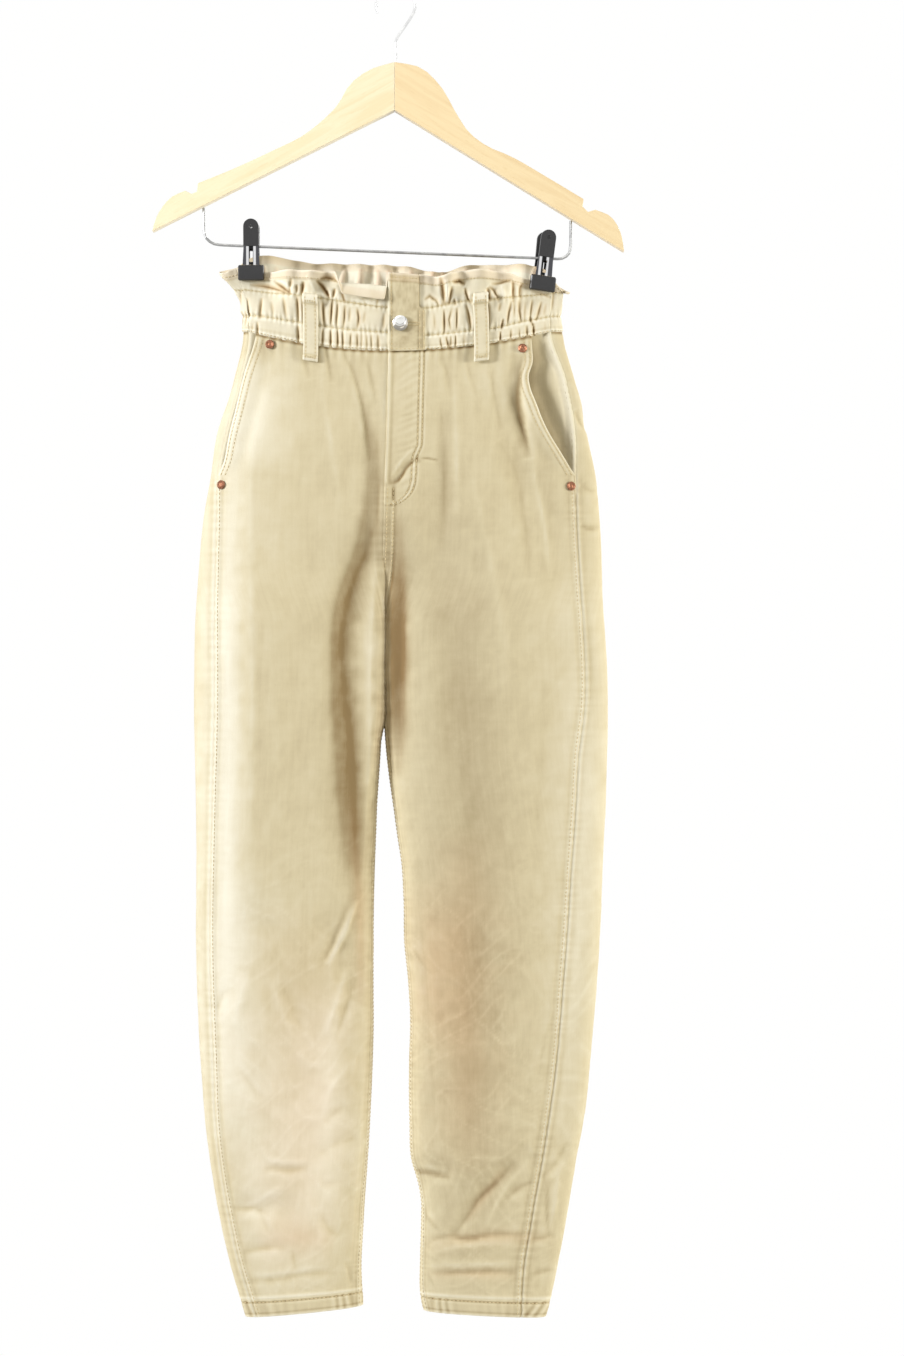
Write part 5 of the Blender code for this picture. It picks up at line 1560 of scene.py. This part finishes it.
loopLook = {
    "width": 13.0,
    "thickness": 1.8,
    "columns": 15,
    "rowStep": 1.0,
    "firstSeed": 110,
    # down, distance from the waistband
    "lifts": (
        (278, 1.0), (279.5, 4.2), (283, 5.6), (287.5, 4.6), (290, 3.4), (302, 3.0), (310.5, 2.3), (319, 2.6),
        (327.5, 2.4), (337, 3.0), (341, 2.2), (342.5, 1.2),
    ),
    "edge": 2.0,
    # bells from the edge inwards, and down the loop; the tone paints shade in the fold creases and the stitch
    # lines
    "edgeLift": ((-0.35, 2, 0.8), (-0.3, 0, 1.0)),
    "edgeTone": ((0.3, 0, 1.0), (-0.2, 2, 0.8)),
    "foldLift": ((-0.7, 288.5, 1.0), (-0.7, 336.5, 1.0)),
    "foldTone": ((0.4, 341, 1.2), (-0.7, 288.5, 0.9), (-0.4, 336.5, 0.9)),
}

loops = {
    "belt_loop_front_left": ("front", -73.0),
    "belt_loop_front_right": ("front", 86.0),
    "belt_loop_back_left": ("back", -98.0),
    "belt_loop_back_centre": ("back", 8.0),
    "belt_loop_back_right": ("back", 112.0),
}


def beltLoop(name, face, centre, seed):
    # A folded strip that follows the waistband: its lift is a smooth curve down it, with thicker folded ends.
    look, flip, even = loopLook, face == "back", np.ones_like(waistDowns)
    half = look["width"] / 2
    grid = waistGrid(face, (centre - half) * even, (centre + half) * even, np.linspace(0, 1, look["columns"]))
    rows = np.arange(look["lifts"][0][0], look["lifts"][-1][0], look["rowStep"])[:, None]
    down = np.broadcast_to(rows, (len(rows), look["columns"]))
    x, y, nx, ny, share, along = pick(grid, down)
    across = np.abs(along - centre)
    lift = tableColumn(look["lifts"], 1, rows) + look["thickness"]
    lift = lift + bells(half - across, look["edgeLift"]) + bells(down, look["foldLift"])
    lift = lift + 0.25 * softNoise(rows / 9 + seed, across / 6, seed)
    wander = 0.8 * softNoise(rows / 22 + seed, 0 * across, seed + 3)
    points = np.stack([x + nx * lift + wander, y + ny * lift, -(down + dipOf(face, share))], axis=-1)
    # a pale loop, pale edges and a pale top where it folds over, painted shade in its fold creases and beside its
    # stitch lines
    tone = 0.35 + bells(half - across, look["edgeTone"]) + bells(down, look["foldTone"])
    tone = tone + 0.5 * smoothStep(289, 287, down)
    dress(clothWall(name + "_cloth", points, along + 900, down, tone, look["thickness"], flip), name)
    bands[name] = {"points": points, "normals": surfaceNormals(points, flip)}


for seed, (name, (face, centre)) in enumerate(loops.items(), start=loopLook["firstSeed"]):
    beltLoop(name, face, centre, seed)
print("belt loops ready")


# Pocket facings

facingLook = {
    "under": 24.0,
    "pastSeam": 1.5,
    "sunk": 2.3,
    "hollow": 6.0,
    "thickness": 1.0,
    "low": 480.0,
    "rowStep": 1.6,
    "columns": 52,
}


def pocketFacing(leg):
    # The cloth that shows in a pocket mouth, a layer behind the front panel, up to the side seam. Its
    # hollow is deepest halfway down the mouth: the sine of the share down it, to a power.
    look = facingLook
    down = np.arange(legForm["waistSeam"] - 1, look["low"], look["rowStep"])
    shape = legSections(leg, down)
    start, end = shape["mouth"] - look["under"], shape["seam"] + look["pastSeam"]
    arcs = start + (end - start) * np.linspace(0, 1, look["columns"])[None, :]
    x, y, nx, ny = onSections(shape, arcs)
    downs = np.broadcast_to(down[:, None], arcs.shape)
    fall = downs + dipOf("front", np.minimum(arcs / shape["seam"], 1)) * dipFade(downs)
    toSeam, inside = shape["seam"] - arcs, arcs - shape["mouth"]
    hollow = np.sin(pi * mouthShare(downs)) ** 0.6 * smoothStep(26, 8, inside) * smoothStep(0, 12, toSeam)
    lift = largeRelief(x, y, downs) - look["sunk"] - look["hollow"] * hollow
    lift += 0.3 * creaseLines(creases["front"], x, fall) + seamRelief(np.abs(toSeam), downs, 51, 0.5)
    lift += 0.5 * softNoise(downs / 16, arcs / 12, 52) * smoothStep(0, 8, toSeam)
    lift += 1.6 * smoothStep(6, 0, toSeam)
    # painted shadow under the mouth's edge, deepest in the hollow, and paler toward the side seam
    tone = -0.7 * bell(np.maximum(inside, 0), 13) * (0.4 + 0.6 * hollow) + 0.1
    tone += 0.4 * bell(toSeam - 1, 1.6) + 0.35 * smoothStep(14, 4, toSeam)
    points = np.stack([x + nx * lift, y + ny * lift, -fall], axis=-1)
    name = "pocket_" + leg
    flip = leg == "left"
    dress(clothWall(name + "_cloth", points, arcs + 1200, downs, tone, look["thickness"], flip), name)


for leg in ("left", "right"):
    pocketFacing(leg)
print("pocket facings ready")


# Stitches

stitchLook = {
    "length": 2.9,
    "pitch": 3.7,
    "bandPitch": 3.3,
    "barPitch": 2.2,
    "radius": 0.42,
    "sunk": 0.1,
    "flat": 0.8,
    "sides": 6,
    # the four rings of a stitch: share of its length, thickness, height over the cloth
    "spindle": ((0.0, 0.25, -0.3), (0.22, 1.0, 0.22), (0.78, 1.0, 0.22), (1.0, 0.25, -0.3)),
    # distances from a seam to its rows of stitches
    "inseam": (2.2, 8.0),
    "side": (2.6,),
    "mouth": (2.6, 7.2),
    "centre": (2.4, 8.0),
    "hem": 13.4,
    # v of the rows on the waistband: stitch rows, over the waist seam, hem strip
    "band": (1.0, 2.0, 2.90, 0.27),
    "tabInside": 3.4,
    "tabLines": (4.6, 0.9),
    "tabRows": (0.12, 2.90),
}


def gridPoints(surface, rowAt, columnAt):
    # Points and normals of a grid surface at fractional rows and columns, by straight interpolation.
    rows, columns = surface["points"].shape[:2]
    k = np.clip(rowAt.astype(int), 0, rows - 2)
    j = np.clip(columnAt.astype(int), 0, columns - 2)
    f, g = (rowAt - k)[:, None], (columnAt - j)[:, None]
    found = []
    for grid in (surface["points"], surface["normals"]):
        high = grid[k, j] * (1 - g) + grid[k, j + 1] * g
        low = grid[k + 1, j] * (1 - g) + grid[k + 1, j + 1] * g
        found.append(high * (1 - f) + low * f)
    return found


def stitchRun(points, normals, pitch=stitchLook["pitch"]):
    # Cuts a line on the cloth into stitches: the ends of each one and the way the cloth faces there.
    run = lengthAlong(points)
    count = int(run[-1] / pitch)
    if count < 1:
        return np.zeros((0, 3, 3))
    begin = (np.arange(count) + 0.12) * run[-1] / count
    finish = begin + stitchLook["length"] / stitchLook["pitch"] * run[-1] / count
    wanted = ((begin, points), (finish, points), ((begin + finish) / 2, normals))
    found = [[np.interp(at, run, line[:, k]) for k in range(3)] for at, line in wanted]
    return np.moveaxis(np.array(found), 2, 0)


def stitchMesh(name, runs):
    # Every stitch is a short spindle of thread, four rings of points, that dips into the cloth at both ends.
    look, ends = stitchLook, np.concatenate(runs)
    first, last, normal = ends[:, 0], ends[:, 1], ends[:, 2]
    way = (last - first) / np.maximum(np.linalg.norm(last - first, axis=1, keepdims=True), 1e-6)
    normal = normal / np.maximum(np.linalg.norm(normal, axis=1, keepdims=True), 1e-6)
    side = np.cross(way, normal)
    share, bulge, rise = np.array(look["spindle"]).T
    angles = np.linspace(0, 2 * pi, look["sides"] + 1)[:-1]
    centre = first[:, None] + (last - first)[:, None] * share[None, :, None]
    centre = centre + normal[:, None] * (rise - look["sunk"])[None, :, None]
    ring = np.cos(angles)[:, None] * side[:, None, None]
    ring = ring + np.sin(angles)[:, None] * normal[:, None, None] * look["flat"]
    points = centre[:, :, None] + ring * (look["radius"] * bulge)[None, :, None, None]
    number = np.arange(points.size // 3).reshape(points.shape[:3])
    after = np.roll(number, -1, axis=2)
    walls = np.stack([number[:, :-1], after[:, :-1], after[:, 1:], number[:, 1:]], -1).reshape(-1, 4)
    halves = ((0, (0, 5, 4, 3)), (0, (0, 3, 2, 1)), (3, (0, 1, 2, 3)), (3, (0, 3, 4, 5)))
    caps = [number[:, station][:, list(order)] for station, order in halves]
    obj = newObject(name, points.reshape(-1, 3), np.concatenate([walls, *caps]).tolist(), thread)
    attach(obj, "root")


def panelLine(face, leg, downs, arcs):
    # Stitches on a leg panel, along a line of heights and distances round the leg.
    surface = panels[face, leg]
    start, end, row = (
        np.interp(downs, surface["down"], values)
        for values in (surface["start"], surface["end"], np.arange(len(surface["down"])))
    )
    column = np.interp((arcs - start) / (end - start), surface["shares"], np.arange(len(surface["shares"])))
    return stitchRun(*gridPoints(surface, row, column))


def seamRows(face, leg, edge, high, low, count, offsets):
    # Rows of stitches beside one edge of a leg panel, its start or its end, at distances inwards from it.
    surface, downs = panels[face, leg], np.linspace(high, low, count)
    at, inwards = np.interp(downs, surface["down"], surface[edge]), 1 if edge == "start" else -1
    return [panelLine(face, leg, downs, at + inwards * offset) for offset in offsets]


def flyRows(leg):
    # The double stitch of the fly, down to where its curve meets the centre seam.
    low, bend = flyLook["low"], flyLook["low"] - flyLook["turn"]
    straight = np.linspace(legForm["waistSeam"] + 2, bend - 1, 30)
    downs = np.concatenate([straight, np.linspace(bend, low - 0.4, 60)])
    rows = []
    for offset in (0.0, flyLook["pair"]):
        arcs = flyLine(downs) - offset
        rows.append(panelLine("front", leg, downs[arcs > 1.5], arcs[arcs > 1.5]))
    return rows


def hemRow(face, leg):
    # The row of stitches that holds the turned hem, from edge to edge of a panel.
    surface, down = panels[face, leg], legForm["hem"] - stitchLook["hem"]
    start, end = (np.interp(down, surface["down"], surface[edge]) for edge in ("start", "end"))
    return panelLine(face, leg, np.full(120, down), np.linspace(start + 1, end - 1, 120))


def legStitches(leg):
    # The stitch lines of one leg: hem, inseam, side seam, pocket mouth and, on the right, the centre and
    # the fly.
    top, crotch, hem, look = legForm["waistSeam"] + 2, legForm["crotchLow"], legForm["hem"] - 2, stitchLook
    front, back = [hemRow("front", leg)], [hemRow("back", leg)]
    front += seamRows("front", leg, "start", crotch - 20, hem, 260, look["inseam"])
    front += seamRows("front", leg, "end", mouthLow + 4, hem, 300, look["side"])
    front += seamRows("front", leg, "end", top, mouthLow, 90, look["mouth"])
    if leg == "right":
        back += seamRows("back", leg, "end", top, crotch - 30, 110, look["centre"])
        front += flyRows(leg)
        front += seamRows("front", leg, "start", flyLook["to"] + 4, crotch - 40, 60, look["centre"])
    stitchMesh("front_" + leg + "_stitches", front)
    stitchMesh("back_" + leg + "_stitches", back)


def bandStitches(name):
    # Stitches along both rows of the waistband, just above the waist seam and along its hem strip.
    surface, v = bands[name], bands[name]["v"][:, 0]
    columns = np.arange(surface["points"].shape[1] - 1) + 0.0
    runs = []
    for at in stitchLook["band"]:
        row = np.full(len(columns), np.interp(at, v, np.arange(len(v))))
        runs.append(stitchRun(*gridPoints(surface, row, columns), pitch=stitchLook["bandPitch"]))
    stitchMesh(name + "_stitches", runs)


def tabStitches():
    # Stitches inside the tab's edges.
    surface, look = bands["waist_tab"], stitchLook
    rows, columns = surface["points"].shape[:2]
    v, down = surface["v"][:, 0], np.arange(rows - 1) + 0.0
    length = tabLook["to"] - tabLook["from"]
    low = down[v[:-1] > 1.05]
    lines = [(down, look["tabInside"]), *((low, length - inside) for inside in look["tabLines"])]
    runs = []
    for at, line in lines:
        runs.append(stitchRun(*gridPoints(surface, at, np.full(len(at), line / length * (columns - 1)))))
    across = np.arange(columns - 3) + 2.0
    for at in look["tabRows"]:
        row = np.full(len(across), np.interp(at, v, np.arange(rows)))
        runs.append(stitchRun(*gridPoints(surface, row, across)))
    stitchMesh("waist_tab_stitches", runs)


holeLook = {
    "down": 320.3,
    "from": 18.4,
    "length": 10.4,
    "count": 15,
    "reach": 1.9,
    "endReach": 1.4,
    "slit": 0.35,
}


def buttonhole():
    # Close short stitches on both sides of a slit, shorter at its end.
    surface, look = bands["waist_tab"], holeLook
    rows, columns = surface["points"].shape[:2]
    slit = np.linspace(0, 1, look["count"])
    at = np.interp(-look["down"], surface["points"][::-1, columns // 2, 2], np.arange(rows)[::-1])
    along = (look["from"] + look["length"] * slit) / (tabLook["to"] - tabLook["from"]) * (columns - 1)
    middle, normals = gridPoints(surface, np.full(len(slit), at), along)
    spread = np.where(slit > 0.82, look["endReach"], look["reach"])[:, None] * np.array([[0, 0, 1.0]])
    both = []
    for sign in (1, -1):
        inner, outer = middle + look["slit"] * sign * spread, middle + sign * spread
        both.append(np.stack([inner + normals * 0.2, outer + normals * 0.2, normals], axis=1))
    stitchMesh("buttonhole_stitches", both)


def loopStitches(name):
    # A row along each edge of a belt loop, and two bars across each of its ends.
    surface, width = bands[name], loopLook["width"]
    rows, columns = surface["points"].shape[:2]
    down, across = np.arange(3, rows - 3) + 0.0, np.linspace(1.0, columns - 2.0, 14)
    runs = []
    for at in (loopLook["edge"], width - loopLook["edge"]):
        runs.append(stitchRun(*gridPoints(surface, down, np.full(len(down), at / width * (columns - 1)))))
    for row in (7.6, 8.6, rows - 5.0, rows - 4.0):
        runs.append(stitchRun(*gridPoints(surface, np.full(14, row), across), pitch=stitchLook["barPitch"]))
    stitchMesh(name + "_stitches", runs)


for leg in ("left", "right"):
    legStitches(leg)
for name in ("waistband_front_left", "waistband_front_right", "waistband_back"):
    bandStitches(name)
tabStitches()
buttonhole()
for name in loops:
    loopStitches(name)
print("stitches ready")


# Hanger, clips, button and rivets keep their solids and get their own looks

def repaint(names, material):
    # Gives nodes of the part one material of their own.
    for name in names:
        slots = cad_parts[name].data.materials
        slots.clear()
        slots.append(material)


def woodMaterial(name, light, dark, turnDegrees, offset):
    # Pale lacquered beech: long rings along the arm, short dark flecks and fine pores.
    material, tree, shader = newMaterial(name, 0.38)
    turned = mapped(tree, objectPlace(tree), turn=(0, radians(turnDegrees), 0), move=(offset, 0, 0))
    rings = noiseOf(tree, mapped(tree, turned, scale=(3.0, 22.0, 40.0)), 2.2, 6.0, 0.55, 0.6)
    flecks = noiseOf(tree, mapped(tree, turned, scale=(90.0, 600.0, 700.0)), 1.0, 2.0)
    colours = ramp(tree, rings, ((0.34, dark), (0.50, light), (0.66, dark)))
    spots = ramp(tree, flecks, ((0.28, (0.80, 0.70, 0.55)), (0.38, (1.0, 1.0, 1.0))))
    feed(tree, shader, {
        "Base Color": tinted(tree, colours, spots, 0.22),
        "Roughness": ranged(tree, rings, 0.30, 0.50),
        "Normal": raised(tree, flecks, 0.12, 0.0003),
        "Coat Weight": 0.35,
        "Coat Roughness": 0.18,
    })
    return material


def speckled(name, roughness, metallic, low, high, scale, spread):
    # A plain finish with fine uneven colour and roughness, and faint marks in its surface.
    material, tree, shader = newMaterial(name, roughness, metallic)
    marks = noiseOf(tree, objectPlace(tree), scale, 4.0, 0.6)
    feed(tree, shader, {
        "Base Color": ramp(tree, marks, ((0.35, low), (0.65, high))),
        "Roughness": ranged(tree, marks, max(roughness - spread, 0.02), roughness + spread),
        "Normal": raised(tree, marks, 0.2, 0.0001),
    })
    return material


def banded(name, roughness, middle, radial, stops):
    # Metal whose colour goes by the distance in millimetres from a middle line, or from a middle point when
    # radial: the dark slot between bright bars, or the groove inside a button's rim.
    material, tree, shader = newMaterial(name, roughness, 1.0)
    place, (x, z, turnDegrees) = objectPlace(tree), middle
    local = mapped(tree, place, turn=(0, radians(turnDegrees), 0), move=(x * mm, 0, z * mm), kind="TEXTURE")
    flat = addNode(tree, "VectorMath", {0: local, 1: (1, 0, 1 if radial else 0)}, operation="MULTIPLY")
    away = addNode(tree, "VectorMath", {0: flat.outputs["Vector"]}, operation="LENGTH").outputs["Value"]
    reach = stops[-1][0] + 1.0
    share = addNode(tree, "Math", {0: away, 1: reach * mm}, operation="DIVIDE").outputs[0]
    colours = ramp(tree, share, [(at / reach, colour) for at, colour in stops])
    marks = noiseOf(tree, place, 900.0, 4.0, 0.6)
    feed(tree, shader, {
        "Base Color": tinted(tree, colours, marks, 0.2),
        "Roughness": ranged(tree, marks, roughness - 0.05, roughness + 0.07),
        "Normal": raised(tree, marks, 0.15, 0.0001),
    })
    return material


# Colours by the distance from the middle in millimetres
buttonBands = (
    (0.0, (0.74, 0.74, 0.72)),
    (4.6, (0.90, 0.90, 0.88)),
    (5.1, (0.30, 0.28, 0.24)),
    (5.7, (0.86, 0.86, 0.84)),
    (7.0, (0.34, 0.32, 0.28)),
)
leafBands = (
    (0.0, (0.02, 0.02, 0.02)),
    (1.9, (0.03, 0.03, 0.03)),
    (2.4, (0.80, 0.80, 0.82)),
    (4.2, (0.86, 0.86, 0.86)),
    (4.8, (0.10, 0.10, 0.11)),
)

# the right arm gets a darker, warmer copy of the same beech
repaint(["hanger_arm_left"], woodMaterial("beechLeftArm", (0.90, 0.81, 0.57), (0.85, 0.73, 0.47), 28, 0.0))
repaint(["hanger_arm_right"], woodMaterial("beechRightArm", (0.85, 0.70, 0.43), (0.79, 0.62, 0.36), -30, 0.7))
repaint(["hook"], speckled("brightWire", 0.22, 1.0, (0.66, 0.66, 0.66), (0.84, 0.84, 0.83), 120, 0.06))
repaint(["trouser_bar"], speckled("greyWire", 0.34, 1.0, (0.26, 0.26, 0.26), (0.38, 0.38, 0.37), 120, 0.06))
repaint(["button"], banded("brushedButton", 0.30, (4.5, -316.6, 0.0), True, buttonBands))
repaint(
    ["rivet_left_top", "rivet_left_low", "rivet_right_top", "rivet_right_low"],
    speckled("agedCopper", 0.5, 1.0, (0.17, 0.07, 0.035), (0.40, 0.19, 0.12), 700, 0.1),
)
repaint(["zip"], speckled("zipTape", 0.85, 0.0, (0.50, 0.42, 0.26), (0.62, 0.54, 0.36), 1500, 0.05))
blackPlastic = speckled("blackPlastic", 0.34, 0.0, (0.012, 0.012, 0.013), (0.026, 0.026, 0.028), 1600, 0.08)
for side, middle in (("left", (-136.0, -263.0, 0.0)), ("right", (138.3, -273.0, 6.0))):
    start = "clip_" + side + "_"
    repaint([start + part for part in ("jaw_front", "jaw_back", "grip_front", "grip_back")], blackPlastic)
    chrome = banded(side + "ClipChrome", 0.16, middle, False, leafBands)
    repaint([start + part for part in ("leaf_front", "leaf_back", "spring")], chrome)
print("hanger and trims painted")


# Stage, in metres

stageLook = {
    "floorRadius": 1.0,
    "floorZ": -1.75,
    "floorPoints": 96,
    "white": (1.0, 1.0, 0.995, 1),
    "bounce": (1.0, 0.88, 0.68, 1),
    "bounceStrength": 0.27,
    "aimedAt": (0, 0, -0.65),
    # x, y, z, power, size, colour of each lamp
    "lamps": {
        "key": (-3.1, -1.5, 0.3, 135.0, 0.8, (0.99, 1.0, 1.04)),
        "rim": (3.3, -0.9, -0.3, 118.0, 1.2, (1.0, 0.98, 0.93)),
        "top": (-0.6, -2.2, 1.6, 18.0, 1.2, (1.0, 0.98, 0.95)),
        "back": (1.4, 2.8, 0.6, 55.0, 1.4, (1.0, 0.98, 0.95)),
    },
}


def aim(obj, target):
    # Turns an object so that its -Z axis points at a place: a tilt from straight down, then a turn round Z.
    way = np.array(target) - np.array(obj.location)
    flat = np.hypot(way[0], way[1])
    obj.rotation_euler = (np.arctan2(flat, -way[2]), 0, np.arctan2(way[1], way[0]) - pi / 2)


def areaLight(name, x, y, z, power, size, colour):
    # A square lamp that points at the middle of the jeans.
    data = bpy.data.lights.new(name, "AREA")
    data.energy, data.size, data.color = power, size, colour
    aim(addObject(name, data, (x, y, z)), stageLook["aimedAt"])


def buildStage():
    # A round floor below the jeans, a white room and four lamps.
    look, count = stageLook, stageLook["floorPoints"]
    turn = np.linspace(0, 2 * pi, count + 1)[:-1]
    radius = look["floorRadius"]
    rim = [np.cos(turn) * radius, np.sin(turn) * radius, np.full(count, look["floorZ"])]
    mesh = bpy.data.meshes.new("floor")
    mesh.from_pydata(np.stack(rim, -1).tolist(), [], [list(range(count))])
    mesh.materials.append(newMaterial("paleFloor", 0.9, colour=(0.85, 0.85, 0.84))[0])
    addObject("floor", mesh)
    world = bpy.data.worlds.new("studio")
    bpy.context.scene.world = world
    world.use_nodes = True
    tree = world.node_tree
    # the room looks pure white, and gives a softer and warmer light than it shows
    shown = feed(tree, tree.nodes["Background"], {"Color": look["white"]})
    given = addNode(tree, "Background", {"Color": look["bounce"], "Strength": look["bounceStrength"]})
    seen = addNode(tree, "LightPath", {}).outputs["Is Diffuse Ray"]
    mix = addNode(tree, "MixShader", {0: seen, 1: shown.outputs[0], 2: given.outputs[0]})
    feed(tree, tree.nodes["World Output"], {"Surface": mix.outputs[0]})
    for name, values in look["lamps"].items():
        areaLight(name, *values)


camera = {"x": 0.0531, "y": -2.7, "z": -0.6516, "frameHeight": 1.2787, "sensor": 36.0}


def buildCamera():
    # Level and straight from the front, with the lens that gives the frame its height at the jeans.
    data = bpy.data.cameras.new("camera")
    data.sensor_fit = "VERTICAL"
    data.sensor_height = camera["sensor"]
    data.lens = camera["sensor"] * -camera["y"] / camera["frameHeight"]
    obj = addObject("camera", data, (camera["x"], camera["y"], camera["z"]))
    obj.rotation_euler = (pi / 2, 0, 0)
    bpy.context.scene.camera = obj


buildStage()
buildCamera()
bpy.context.scene.view_settings.view_transform = "Standard"
print("stage ready")
